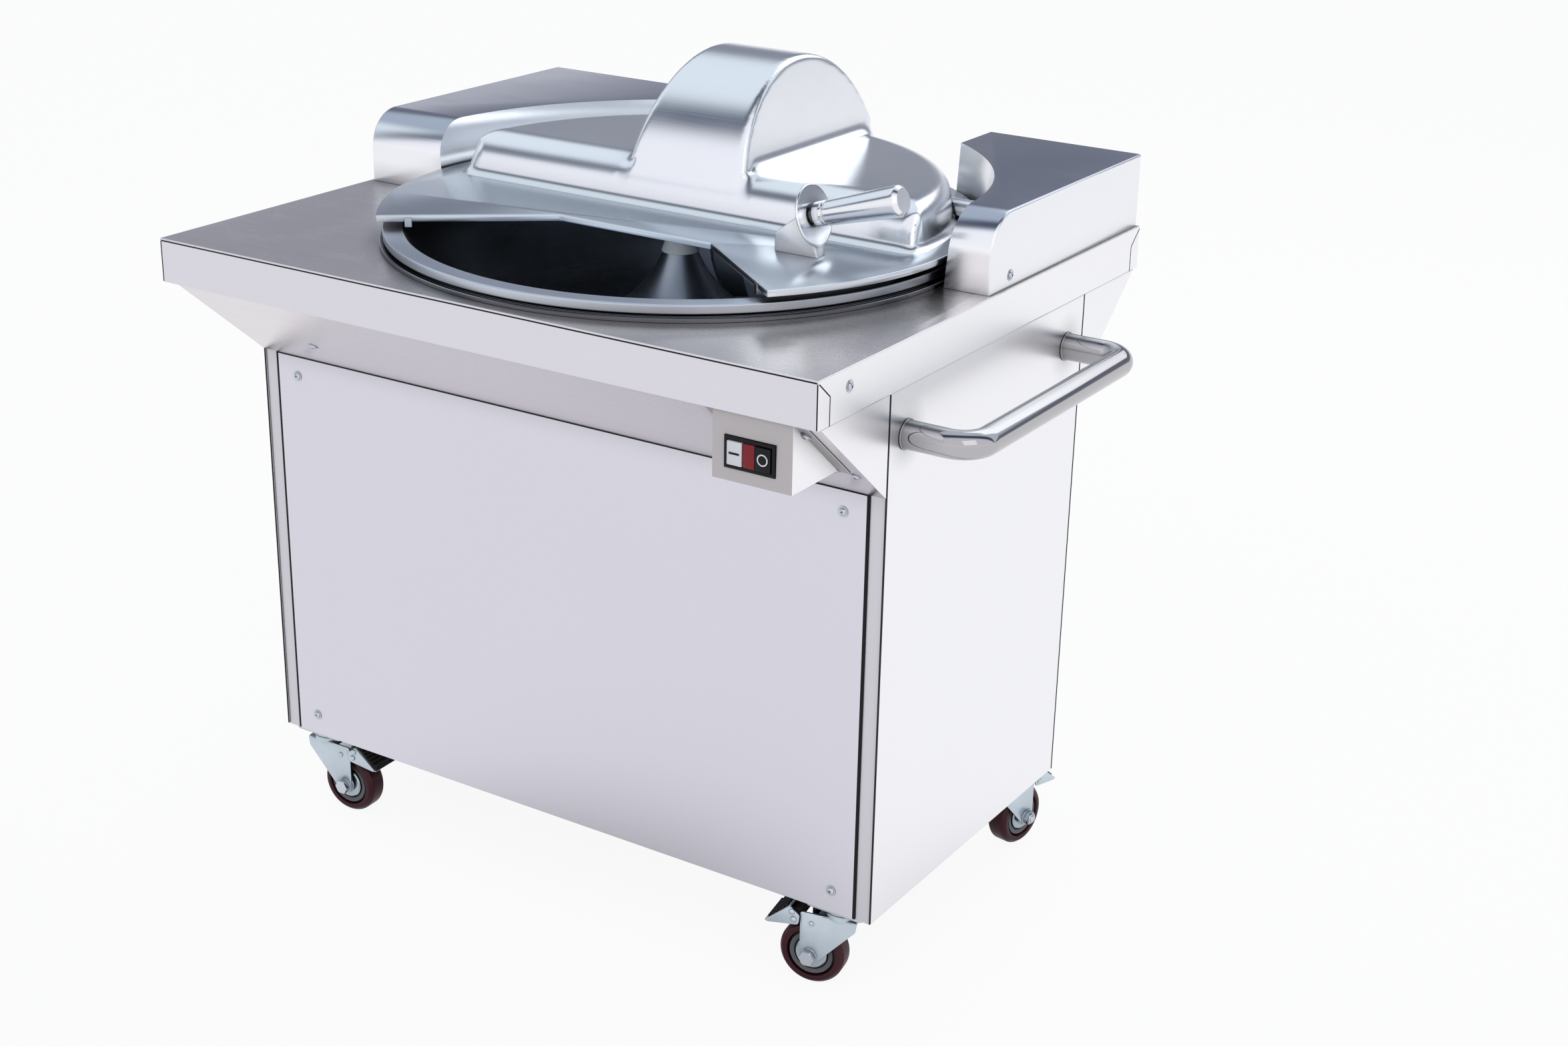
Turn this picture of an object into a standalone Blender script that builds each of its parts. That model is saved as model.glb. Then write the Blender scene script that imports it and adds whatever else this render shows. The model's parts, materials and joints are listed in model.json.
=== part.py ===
"""Meat bowl cutter on castors, modelled in metres with +Z up and the front facing -Y.

The origin is on the floor, under the middle of the whole machine's outline.
"""
import math

import bmesh
import bpy
from mathutils import Matrix, Vector

# Fits and allowances shared by all pieces
seat_gap = 0.0003
running_gap = 0.0006
overrun = 0.004
weld_distance = 0.00002

# Worktop: the tray that the bowl hangs in
table_length = 0.900
table_depth = 0.748
table_height = 0.795
apron_height = 0.0524
sheet = 0.0015
belt_slot_width = 0.030
belt_slot_length = 0.110
belt_slot_shift = 0.009

# Cabinet below the worktop
cabinet_length = 0.888
cabinet_depth = 0.460
cabinet_shift = 0.005
castor_height = 0.110
flare_inset = 0.007
flare_drop = 0.1156
post = 0.020
panel_gap = 0.0012
base_rail_height = 0.050
rail_height = 0.025
cross_spacing = 0.120

# Bowl and its round trough; its outside follows from the depth of the worktop
bowl_shift_y = -0.006
rim_margin = 0.020
bowl_rim_radius = table_depth / 2 + bowl_shift_y - rim_margin
rim_width = 0.023
bowl_mouth_radius = bowl_rim_radius - rim_width
bowl_rim_height = 0.0186
bowl_band = 0.011
bowl_wall = 0.006
trough_side = 0.020
trough_radius = (bowl_mouth_radius - trough_side) / 2
trough_core = 0.0095
trough_centre = trough_radius + trough_core
trough_flare_drop = 0.071
cone_top_drop = 0.050
hub_radius = 0.055
hub_drop = 0.022
cap_height = 0.015
cap_top_share = 0.78
skirt_step = 0.017
skirt_radius = bowl_rim_radius - skirt_step
hole_clearance = 0.007
table_hole_radius = skirt_radius + hole_clearance
ring_seat = 0.0015
ring_inner = table_hole_radius + ring_seat
ring_width = 0.0125
ring_outer = ring_inner + ring_width
ring_height = 0.0045
ring_groove = 0.0012

# Knife shaft, knives and their bearing
shaft_height = 0.041
shaft_radius = 0.010
sleeve_radius = 0.0155
sleeve_reach = 0.075
knife_clearance = 0.003
knife_radius = trough_radius - knife_clearance
knife_root = 0.030
knife_thickness = 0.004
knife_pitch = 0.018
knife_count = 3
spacer_radius = 0.024
nut_radius = 0.019
nut_length = 0.022
nut_washer = 0.006
bearing_width = 0.022
bearing_half = 0.032
pulley_width = 0.020
pulley_gap = 0.004
knife_pulley_radius = 0.033
shaft_tail = 0.012

# Cover: flat plate, low hood and knife dome
cover_overlap = 0.0065
cover_radius = bowl_rim_radius + cover_overlap
cover_top = 0.034
cover_thickness = 0.008
lip_gap = 0.003
lip_outer = bowl_mouth_radius - lip_gap
lip_width = 0.008
lip_inner = lip_outer - lip_width
lip_clearance = 0.002
lip_relief = 0.030
mouth_back = 0.107
mouth_left = 0.096
mouth_right = 0.116
mouth_left_turn = math.radians(222.5)
mouth_right_turn = math.radians(-40.4)
hood_step = 0.0325
hood_radius = cover_radius - hood_step
hood_top = 0.084
hood_front = 0.011
hood_front_round = 0.0445
hood_edge_round = 0.022
hood_wall = 0.004
set_back = 0.0008
draft = 0.178
dome_step = 0.0055
dome_radius = trough_radius + dome_step
dome_half_width = 0.089
notch_gap = 0.004
lug_spacing = 0.045
lug_width = 0.014
lug_radius = 0.011
hinge_behind = 0.0435
hinge_reach = trough_centre + dome_radius + hinge_behind
hinge_height = 0.0445
pin_radius = 0.006
pin_overhang = 0.004
arm_width = 0.010
bracket_foot = 0.018
bracket_base = 0.006

# Lifting handle of the cover
block_left = 0.1900
block_length = 0.056
block_width = 0.0185
block_front = 0.083
block_low = 0.014
block_high = 0.052
handle_tilt = math.radians(16.5)
guard_radius = 0.0352
guard_thickness = 0.004
guard_height = 0.0465
grip_neck_radius = 0.010
grip_neck = 0.007
grip_root_radius = 0.0140
grip_end_radius = 0.0175
grip_length = 0.114
grip_crown = 0.003

# Housings at the back corners of the worktop
pod_height = 0.088
pod_front = 0.362
pod_round = 0.046
pod_wall = 0.002
pod_clearance = 0.004
pod_curve_radius = cover_radius + pod_clearance
pod_curve_draft = 0.085
pod_end = 0.210
pod_edge = 0.0015
pod_side_edge = 0.0045

# The drive at the right-hand end: the bowl stands as far from the cabinet's side as it needs
bearing_step = 0.0145
bearing_from_axis = cover_radius - bearing_step
drive_room = 0.079
bowl_shift_x = cabinet_shift + cabinet_length / 2 - drive_room - bearing_from_axis

# Push rail on the right-hand side
rail_tube_radius = 0.016
rail_stand_off = 0.079
rail_front = 0.0385
rail_rear = 0.418
rail_drop = 0.107
rail_bend = 0.030

# Switch box under the front edge
switch_left = 0.3230
switch_width = 0.0965
switch_height = 0.0745
switch_set_back = 0.004
switch_flange = 0.014
cut_width = 0.0620
cut_height = 0.0355
cut_left = 0.0148
cut_top = 0.0250
bezel_depth = 0.028
bezel_frame = 0.004
bezel_proud = 0.0015
button_proud = 0.0035
button_travel = 0.003
button_length = 0.010
button_gap = 0.0006
button_split_share = 0.36

# Gearbox below the bowl
box_half = 0.082
box_height = 0.090
box_wall = 0.008
box_drop = 0.2095
worm_shift = 0.0612
wheel_teeth = 30
wheel_tip = 0.0475
wheel_root = 0.0418
wheel_width = 0.014
tooth_root_share = 0.30
tooth_tip_share = 0.20
worm_core = 0.0108
worm_thread = 0.0021
worm_turns = 3
worm_journal = 0.008
worm_pulley_radius = 0.060
spindle_radius = 0.018
bearing_collar = 0.034
collar_height = 0.012

# Motor, its base plate and its pulleys
motor_radius = 0.080
motor_length = 0.230
motor_behind_pulley = 0.071
motor_right = (bowl_shift_x + bearing_from_axis + bearing_width + pulley_gap + pulley_width / 2
               - motor_behind_pulley)
motor_shift_y = 0.035
motor_height = 0.105
motor_foot = 0.012
motor_fins = 20
fin_depth = 0.005
base_plate = 0.005
base_plate_length = 0.270
motor_shaft_radius = 0.012
motor_pulley_radius = 0.043
small_pulley_radius = 0.030
belt_thickness = 0.005
belt_width = 0.012
belt_gap = 0.0008

# Castors
swivel_inset_x = 0.050
swivel_inset_front = 0.029
swivel_inset_rear = 0.046
plate_length = 0.076
plate_width = 0.053
plate_thickness = 0.003
race_radius = 0.0235
race_height = 0.004
wheel_radius = 0.0400
tread_width = 0.030
wheel_hub_width = 0.033
trail = 0.035
fork_gap = 0.0375
fork_sheet = 0.0025
fork_back = 0.024
fork_front = 0.012
fork_top_drop = 0.0125
fork_eye = 0.011
axle_radius = 0.004
axle_head = 0.0065
axle_head_height = 0.005
brake_ahead = 0.0185
brake_above = 0.0465
brake_pin_radius = 0.003
brake_eye = 0.0075
pedal_reach = 0.0365
pedal_fall = 0.011
pedal_rise = 0.016
pedal_sheet = 0.002
swivel_turns = {
    "front_left": math.radians(2),
    "front_right": math.radians(190),
    "rear_right": math.radians(80),
    "rear_left": math.radians(-12),
}

# Facets of round pieces
fine_steps = 48
round_steps = 20
small_steps = 10
castor_steps = 20
bolt_steps = 8
arc_steps = 6
dome_steps = 20
trough_steps = 14

# Places worked out from the sizes above
cabinet_half = cabinet_length / 2
rail_reach = cabinet_shift + cabinet_half + rail_stand_off + rail_tube_radius
table_x = -(rail_reach - table_length / 2) / 2
cabinet_x = table_x + cabinet_shift
cabinet_front = -cabinet_depth / 2
cabinet_rear = cabinet_depth / 2
cabinet_top = table_height - apron_height
bowl_x = table_x + bowl_shift_x
bowl_y = bowl_shift_y
table_under = table_height - sheet - seat_gap
shaft_y = bowl_y + trough_centre
shaft_z = table_height + shaft_height
hinge_y = bowl_y + hinge_reach
hinge_z = table_height + hinge_height
cover_z = table_height + cover_top
bearing_x = bowl_x + bearing_from_axis
knife_pulley_x = bearing_x + bearing_width + pulley_gap + pulley_width / 2
worm_pulley_x = knife_pulley_x - pulley_width - pulley_gap
motor_x = table_x + motor_right
motor_y = motor_shift_y
motor_seat_z = castor_height + base_rail_height + base_plate
motor_z = motor_seat_z + motor_height
worm_y = bowl_y - worm_shift
gear_z = table_height - box_drop
fork_axle_z = -(castor_height - wheel_radius)

colours = {
    "stainless": ((0.62, 0.62, 0.64), 0.30, 1.0),
    "panel": ((0.74, 0.74, 0.78), 0.38, 1.0),
    "cast_aluminium": ((0.66, 0.69, 0.73), 0.28, 1.0),
    "polished": ((0.78, 0.78, 0.79), 0.12, 1.0),
    "zinc": ((0.60, 0.66, 0.72), 0.32, 1.0),
    "steel": ((0.42, 0.42, 0.44), 0.36, 1.0),
    "knife_steel": ((0.70, 0.71, 0.73), 0.16, 1.0),
    "bronze": ((0.62, 0.42, 0.18), 0.34, 1.0),
    "iron": ((0.20, 0.27, 0.33), 0.55, 0.2),
    "rubber": ((0.03, 0.03, 0.03), 0.70, 0.0),
    "tyre": ((0.22, 0.02, 0.05), 0.35, 0.0),
    "black": ((0.02, 0.02, 0.02), 0.45, 0.0),
    "nylon": ((0.82, 0.84, 0.80), 0.40, 0.0),
    "red": ((0.42, 0.02, 0.02), 0.35, 0.0),
    "white": ((0.85, 0.85, 0.83), 0.40, 0.0),
}


def clear_scene():
    for item in list(bpy.data.objects):
        bpy.data.objects.remove(item)
    for group in list(bpy.data.collections):
        bpy.data.collections.remove(group)


def new_collection(name):
    group = bpy.data.collections.new(name)
    bpy.context.scene.collection.children.link(group)
    return group


clear_scene()
parts = new_collection("meat_bowl_cutter")
helpers = new_collection("cutters")


def material(name):
    if name in bpy.data.materials:
        return bpy.data.materials[name]
    colour, roughness, metallic = colours[name]
    made = bpy.data.materials.new(name)
    made.use_nodes = True
    shader = made.node_tree.nodes["Principled BSDF"]
    shader.inputs["Base Color"].default_value = (*colour, 1.0)
    shader.inputs["Roughness"].default_value = roughness
    shader.inputs["Metallic"].default_value = metallic
    return made


def place_mesh(name, mesh, finish=None, at=(0, 0, 0), turn=(0, 0, 0), parent=None):
    """Link a mesh as a part when it has a finish, and as a cutter when it has none."""
    item = bpy.data.objects.new(name, mesh)
    item.location = at
    item.rotation_euler = turn
    if finish:
        parts.objects.link(item)
        if not mesh.materials:
            mesh.materials.append(material(finish))
    else:
        helpers.objects.link(item)
        item.hide_render = True
        item.display_type = "WIRE"
    if parent:
        item.parent = parent
    return item


def pivot(name, at, turn=0.0):
    empty = bpy.data.objects.new(name, None)
    empty.location = at
    empty.rotation_euler = (0, 0, turn)
    parts.objects.link(empty)
    return empty


def on_pivot(empty, at):
    return tuple(Vector(at) - empty.location)


def box_mesh(name, boxes):
    """One closed box for each pair of low and high corners."""
    shape = bmesh.new()
    for low, high in boxes:
        made = bmesh.ops.create_cube(shape, size=1.0)
        low, high = Vector(low), Vector(high)
        size = high - low
        middle = (high + low) / 2
        bmesh.ops.scale(shape, vec=size, verts=made["verts"])
        bmesh.ops.translate(shape, vec=middle, verts=made["verts"])
    mesh = bpy.data.meshes.new(name)
    shape.to_mesh(mesh)
    shape.free()
    return mesh


def rod_mesh(name, rods, steps=small_steps):
    """Cylinders given as (start, end, start radius, end radius)."""
    shape = bmesh.new()
    for start, end, first, last in rods:
        start, end = Vector(start), Vector(end)
        run = end - start
        turn = Vector((0, 0, 1)).rotation_difference(run).to_matrix().to_4x4()
        where = Matrix.Translation((start + end) / 2) @ turn
        bmesh.ops.create_cone(shape, cap_ends=True, segments=steps, radius1=first,
                              radius2=last, depth=run.length, matrix=where)
    mesh = bpy.data.meshes.new(name)
    shape.to_mesh(mesh)
    shape.free()
    return mesh


def smooth(mesh, limit=math.radians(35)):
    mesh.shade_smooth()
    mesh.set_sharp_from_angle(angle=limit)


def evaluated_mesh(item, name):
    bpy.context.view_layer.update()
    graph = bpy.context.evaluated_depsgraph_get()
    mesh = bpy.data.meshes.new_from_object(item.evaluated_get(graph))
    mesh.name = name
    return mesh


def turned_mesh(name, profile, steps=round_steps, ring=False):
    """Revolve (radius, height) points about Z; a ring profile closes on itself."""
    mesh = bpy.data.meshes.new(name)
    edges = [(i, i + 1) for i in range(len(profile) - 1)]
    if ring:
        edges.append((len(profile) - 1, 0))
    mesh.from_pydata([(r, 0, z) for r, z in profile], edges, [])
    item = place_mesh(name, mesh)
    screw = item.modifiers.new("turn", "SCREW")
    screw.axis = "Z"
    screw.steps = steps
    screw.render_steps = steps
    screw.use_merge_vertices = True
    screw.merge_threshold = weld_distance
    result = evaluated_mesh(item, name)
    bpy.data.objects.remove(item)
    smooth(result)
    return result


def outline_mesh(name, points, thickness, holes=()):
    """Extrude a flat outline in XY, centred on Z, with optional inner outlines."""
    curve = bpy.data.curves.new(name, "CURVE")
    curve.dimensions = "2D"
    curve.fill_mode = "BOTH"
    curve.extrude = thickness / 2
    for loop in (points, *holes):
        spline = curve.splines.new("POLY")
        spline.points.add(len(loop) - 1)
        spline.use_cyclic_u = True
        for target, (x, y) in zip(spline.points, loop):
            target.co = (x, y, 0, 1)
    item = bpy.data.objects.new(name, curve)
    helpers.objects.link(item)
    mesh = evaluated_mesh(item, name)
    bpy.data.objects.remove(item)
    weld(mesh)
    return mesh


def weld(mesh):
    shape = bmesh.new()
    shape.from_mesh(mesh)
    bmesh.ops.remove_doubles(shape, verts=shape.verts, dist=weld_distance)
    bmesh.ops.recalc_face_normals(shape, faces=shape.faces)
    shape.to_mesh(mesh)
    shape.free()


def moved(mesh, *steps):
    for matrix in steps:
        mesh.transform(matrix)
    return mesh


# A flat outline drawn in XY stands up facing +X with its first axis along +Y
facing_x = Matrix(((0, 0, 1, 0), (1, 0, 0, 0), (0, 1, 0, 0), (0, 0, 0, 1)))
# or facing -Y with its first axis along +X
facing_y = Matrix.Rotation(math.radians(90), 4, "X")
along_x = Matrix.Rotation(math.radians(90), 4, "Y")


def at(x, y, z):
    return Matrix.Translation((x, y, z))


def arc(centre, radius, start, end, steps=arc_steps):
    cx, cy = centre
    turns = [start + (end - start) * i / steps for i in range(steps + 1)]
    return [(cx + radius * math.cos(t), cy + radius * math.sin(t)) for t in turns]


def combine(item, other, how):
    cut = item.modifiers.new(how.lower(), "BOOLEAN")
    cut.operation = how
    cut.solver = "EXACT"
    cut.object = other
    return item


def settle(item):
    """Turn an object with its modifiers into a plain mesh and drop the object."""
    mesh = evaluated_mesh(item, item.name)
    bpy.data.objects.remove(item)
    return mesh


def build_mesh(name, start, joins=(), cuts=(), overlap=None):
    item = place_mesh(name, start)
    extras = []
    for how, group in (("UNION", joins), ("INTERSECT", (overlap,) if overlap else ()),
                       ("DIFFERENCE", cuts)):
        for mesh in group:
            extra = place_mesh(name + "_tool", mesh)
            combine(item, extra, how)
            extras.append(extra)
    mesh = settle(item)
    for extra in extras:
        bpy.data.objects.remove(extra)
    return mesh


def tube_mesh(name, points, radius, resolution=2):
    curve = bpy.data.curves.new(name, "CURVE")
    curve.dimensions = "3D"
    curve.bevel_depth = radius
    curve.bevel_resolution = resolution
    curve.use_fill_caps = True
    spline = curve.splines.new("POLY")
    spline.points.add(len(points) - 1)
    for target, point in zip(spline.points, points):
        target.co = (*point, 1)
    item = bpy.data.objects.new(name, curve)
    helpers.objects.link(item)
    mesh = evaluated_mesh(item, name)
    bpy.data.objects.remove(item)
    weld(mesh)
    smooth(mesh)
    return mesh


def make_worktop():
    half, deep = table_length / 2, table_depth / 2
    outer = box_mesh("worktop", [((-half, -deep, -apron_height), (half, deep, 0))])
    inner = box_mesh("inside", [((-half + sheet, -deep + sheet, -apron_height - overrun),
                                 (half - sheet, deep - sheet, -sheet))])
    hole = rod_mesh("hole", [((bowl_shift_x, bowl_shift_y, -overrun),
                              (bowl_shift_x, bowl_shift_y, overrun),
                              table_hole_radius, table_hole_radius)], fine_steps)
    slot_x = knife_pulley_x - table_x
    slot_y = shaft_y - belt_slot_shift
    slot = box_mesh("slot", [((slot_x - belt_slot_width / 2, slot_y - belt_slot_length / 2, -overrun),
                              (slot_x + belt_slot_width / 2, slot_y + belt_slot_length / 2, overrun))])
    mesh = build_mesh("worktop", outer, cuts=(inner, hole, slot))
    place_mesh("worktop", mesh, "stainless", (table_x, 0, table_height))


def make_frame():
    """Welded frame: corner posts, two levels of rails, cross bars and the motor platform."""
    side = cabinet_half - sheet - seat_gap
    face = cabinet_rear - sheet - seat_gap
    posts = []
    for x in (-side, side - post):
        for y in (-face, face - post):
            posts.append(((x, y, castor_height), (x + post, y + post, table_under)))
    reach = side - post / 2
    depth = face - post / 2
    bar = post - 2 * weld_step
    middle = gear_z - box_height / 2 - seat_gap
    levels = ((castor_height + weld_step, castor_height + base_rail_height - weld_step),
              (middle - rail_height, middle - weld_step))
    lengthwise = []
    crosswise = []
    for low, high in levels:
        for y in (-face + weld_step, face - weld_step - bar):
            lengthwise.append(((-reach, y, low), (reach, y + bar, high)))
    for x in (-side + weld_step, side - weld_step - bar):
        crosswise.append(((x, -depth, levels[0][0] + weld_step), (x + bar, depth, levels[0][1] - weld_step)))
        crosswise.append(((x, -depth, cabinet_top - rail_height), (x + bar, depth, cabinet_top - weld_step)))
    for x in (-cross_spacing / 2, cross_spacing / 2):
        x += bowl_x - cabinet_x
        crosswise.append(((x - bar / 2, -depth, levels[1][0] + weld_step), (x + bar / 2, depth, middle)))
    plate_middle = motor_x - cabinet_x - motor_length / 2
    half = base_plate_length / 2
    low = levels[0][1] - weld_step
    platform = box_mesh("platform", [((plate_middle - half, -depth, low),
                                      (plate_middle + half, depth, motor_seat_z))])
    mesh = build_mesh("frame", box_mesh("posts", posts),
                      joins=(box_mesh("lengthwise", lengthwise), box_mesh("crosswise", crosswise),
                             platform))
    place_mesh("frame", mesh, "stainless", (cabinet_x, 0, 0))


weld_step = 0.001


def make_flare(name, mirror):
    """Folded sheet from the apron down to the cabinet, closed by a triangle at each end."""
    top = cabinet_top - seat_gap
    low = top - flare_drop
    outer_y = -table_depth / 2 + flare_inset
    inner_y = cabinet_front - seat_gap
    triangle = [(outer_y, top), (inner_y, low), (inner_y, top)]
    slope = math.hypot(inner_y - outer_y, flare_drop)
    back_shift = sheet * slope / flare_drop
    hollow = [(outer_y + back_shift - overrun * (inner_y - outer_y) / flare_drop, top + overrun),
              (inner_y + overrun, top + overrun),
              (inner_y + overrun, low + sheet * slope / (inner_y - outer_y)
               - overrun * flare_drop / (inner_y - outer_y))]
    solid = moved(outline_mesh(name, triangle, cabinet_length), facing_x)
    inside = moved(outline_mesh("inside", hollow, cabinet_length - 2 * sheet), facing_x)
    mesh = build_mesh(name, solid, cuts=(inside,))
    if mirror:
        mesh = moved(mesh, Matrix.Rotation(math.radians(180), 4, "Z"))
    place_mesh(name, mesh, "stainless", (cabinet_x, 0, 0))


def panel_width():
    return cabinet_length - 2 * (sheet + seat_gap + post + panel_gap)


def make_panels():
    width = panel_width() / 2
    top = cabinet_top - seat_gap - flare_drop - seat_gap
    front = box_mesh("front_panel", [((-width, cabinet_front, castor_height),
                                      (width, cabinet_front + sheet, top))])
    place_mesh("front_panel", front, "panel", (cabinet_x, 0, 0))
    rear = box_mesh("rear_panel", [((-width, cabinet_rear - sheet, castor_height),
                                    (width, cabinet_rear, top))])
    slots = []
    for row in range(vent_rows):
        z = top - vent_drop - row * vent_pitch
        for side in (-1, 1):
            x = side * vent_spacing
            slots.append(((x - vent_length / 2, cabinet_rear - overrun, z - vent_height / 2),
                          (x + vent_length / 2, cabinet_rear + overrun, z + vent_height / 2)))
    rear = build_mesh("rear_panel", rear, cuts=(box_mesh("slots", slots),))
    place_mesh("rear_panel", rear, "panel", (cabinet_x, 0, 0))
    y = cabinet_rear - panel_gap
    for name, side in (("left_panel", -1), ("right_panel", 1)):
        near, far = cabinet_half - sheet, cabinet_half
        low, high = sorted((side * near, side * far))
        mesh = box_mesh(name, [((low, -y, castor_height), (high, y, cabinet_top - seat_gap))])
        place_mesh(name, mesh, "panel", (cabinet_x, 0, 0))


# Louvres of the rear panel
vent_rows = 6
vent_pitch = 0.018
vent_drop = 0.060
vent_spacing = 0.200
vent_length = 0.120
vent_height = 0.006


def slope_point(share):
    """A point on the front flare, from its top edge (0) to its lower edge (1)."""
    top = cabinet_top - seat_gap
    outer_y = -table_depth / 2 + flare_inset
    inner_y = cabinet_front - seat_gap
    return outer_y + (inner_y - outer_y) * share, top - flare_drop * share


def slope_out():
    """Unit vector (y, z) that points away from the front flare."""
    run = cabinet_front - seat_gap + table_depth / 2 - flare_inset
    length = math.hypot(run, flare_drop)
    return -flare_drop / length, -run / length


def make_switch_box():
    """Wedge of folded sheet on the slope, with a cut-out for the push switch."""
    out_y, out_z = slope_out()
    lift = seat_gap
    top_y, top_z = slope_point(0)
    share = switch_height / flare_drop
    low_y, low_z = slope_point(share)
    top_z = top_z - seat_gap
    front = -table_depth / 2 + switch_set_back
    back_top = (top_y + out_y * lift, top_z)
    back_low = (low_y + out_y * lift, low_z + out_z * lift)
    wedge = [(front, top_z), (front, back_low[1]), back_low, back_top]
    inset = [(front + sheet, top_z - sheet), (front + sheet, back_low[1] + sheet),
             (back_low[0] + overrun, back_low[1] + sheet), (back_top[0] + overrun, top_z - sheet)]
    middle = table_x + switch_left + switch_width / 2
    body = moved(outline_mesh("switch_box", wedge, switch_width), facing_x)
    hollow = moved(outline_mesh("inside", inset, switch_width - 2 * sheet), facing_x)
    flange = [back_top, (back_top[0] + out_y * sheet, back_top[1]),
              (back_low[0] + out_y * sheet, back_low[1] + out_z * sheet), back_low]
    strip = moved(outline_mesh("flange", flange, switch_width + 2 * switch_flange), facing_x)
    window = box_mesh("window", [((-switch_width / 2 + cut_left, front - overrun,
                                   top_z - cut_top - cut_height),
                                  (-switch_width / 2 + cut_left + cut_width, front + 2 * overrun,
                                   top_z - cut_top))])
    mesh = build_mesh("switch_box", body, joins=(strip,), cuts=(hollow, window))
    place_mesh("switch_box", mesh, "stainless", (middle, 0, 0))
    return middle - switch_width / 2 + cut_left, front, top_z - cut_top


def make_switch(left, front, top):
    """Moulded switch body with two push buttons that slide in it."""
    width = cut_width - 2 * seat_gap
    height = cut_height - 2 * seat_gap
    x, z = left + seat_gap, top - seat_gap - height
    back = front + bezel_depth
    body = box_mesh("switch_bezel", [((0, front - bezel_proud, 0), (width, back, height))])
    rim = bezel_frame
    inner = width - 2 * rim
    split = rim + inner * button_split_share
    far = rim + inner * (1 - button_split_share)
    wells = box_mesh("wells", [
        ((rim, front - bezel_proud - overrun, rim), (split, back - bezel_frame, height - rim)),
        ((far, front - bezel_proud - overrun, rim), (width - rim, back - bezel_frame, height - rim))])
    mesh = build_mesh("switch_bezel", body, cuts=(wells,))
    place_mesh("switch_bezel", mesh, "black", (x, 0, z))
    start = front - button_proud
    end = start + button_length
    for name, low, high, finish in (("on_button", rim, split, "white"),
                                    ("off_button", far, width - rim, "black")):
        mesh = box_mesh(name, [((low + button_gap, 0, rim + button_gap),
                                (high - button_gap, end - start, height - rim - button_gap))])
        item = place_mesh(name, mesh, finish, (x, start, z))
        edge = item.modifiers.new("edges", "BEVEL")
        edge.width = button_gap
        edge.segments = 2


def make_push_handle():
    """Bent tube whose two legs stand on the right-hand panel."""
    x0 = cabinet_x + cabinet_half + seat_gap
    x1 = cabinet_x + cabinet_half + rail_stand_off
    z = table_height - rail_drop
    y0 = cabinet_front + rail_front
    y1 = cabinet_front + rail_rear
    corner = x1 - rail_bend
    points = [(x0, y0, z)]
    points += [(a, b, z) for a, b in arc((corner, y0 + rail_bend), rail_bend,
                                         math.radians(-90), 0, arc_steps)]
    points += [(a, b, z) for a, b in arc((corner, y1 - rail_bend), rail_bend, 0,
                                         math.radians(90), arc_steps)]
    points.append((x0, y1, z))
    place_mesh("push_handle", tube_mesh("push_handle", points, rail_tube_radius, 4), "polished")


def pod_outline(front, rear, height, radius, low):
    return [(rear, low), (rear, height)] + arc((front + radius, height - radius), radius,
                                              math.radians(90), math.radians(180)) + [(front, low)]


def make_pod(name, side):
    """Housing with a rounded front edge and a hollow side that follows the bowl."""
    rear = table_depth / 2 - pod_edge
    front = -table_depth / 2 + pod_front
    outer_x = side * (table_length / 2 - pod_side_edge)
    inner_x = bowl_shift_x + side * pod_end
    middle = (outer_x + inner_x) / 2
    length = abs(outer_x - inner_x)
    solid = moved(outline_mesh(name, pod_outline(front, rear, pod_height, pod_round, 0), length),
                  facing_x, at(middle, 0, 0))
    hollow = moved(outline_mesh("inside", pod_outline(front + pod_wall, rear - pod_wall,
                                                      pod_height - pod_wall,
                                                      pod_round - pod_wall, -overrun),
                                length - 2 * pod_wall), facing_x, at(middle, 0, 0))
    top_radius = pod_curve_radius + pod_height * pod_curve_draft
    spread = overrun * pod_curve_draft
    bowl_side = ((bowl_shift_x, bowl_shift_y, -overrun),
                 (bowl_shift_x, bowl_shift_y, pod_height + overrun))
    curve = rod_mesh("curve", [(*bowl_side, pod_curve_radius - spread, top_radius + spread)], fine_steps)
    inner_curve = rod_mesh("inner_curve", [(*bowl_side, pod_curve_radius - spread + pod_wall,
                                            top_radius + spread + pod_wall)], fine_steps)
    hollow = build_mesh("hollow", hollow, cuts=(inner_curve,))
    cuts = [curve, hollow]
    if side > 0:
        y, z = shaft_y, shaft_height
        radius = sleeve_radius + notch_gap / 2
        cuts.append(rod_mesh("bore", [((bowl_shift_x + pod_end, y, z),
                                       (bearing_x - table_x, y, z), radius, radius)], small_steps))
    mesh = build_mesh(name, solid, cuts=cuts)
    smooth(mesh)
    place_mesh(name, mesh, "stainless", (table_x, 0, table_height + seat_gap))


def make_seal_ring():
    step = ring_groove
    middle = (ring_outer + ring_inner) / 2
    profile = [(ring_inner, ring_height), (middle - step, ring_height),
               (middle, ring_height - 2 * step), (middle + step, ring_height),
               (ring_outer - step, ring_height), (ring_outer, 0), (ring_inner, 0)]
    mesh = turned_mesh("bowl_seal_ring", profile, fine_steps, ring=True)
    place_mesh("bowl_seal_ring", mesh, "stainless", (bowl_x, bowl_y, table_height + seat_gap))


def trough_arc(radius, start_height, end_height, steps):
    """Points of the trough circle from the cone side to the outer side, top to bottom."""
    start = math.pi - math.asin((start_height - shaft_height) / radius)
    end = 2 * math.pi + math.asin((end_height - shaft_height) / radius)
    return arc((trough_centre, shaft_height), radius, start, end, steps)


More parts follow.
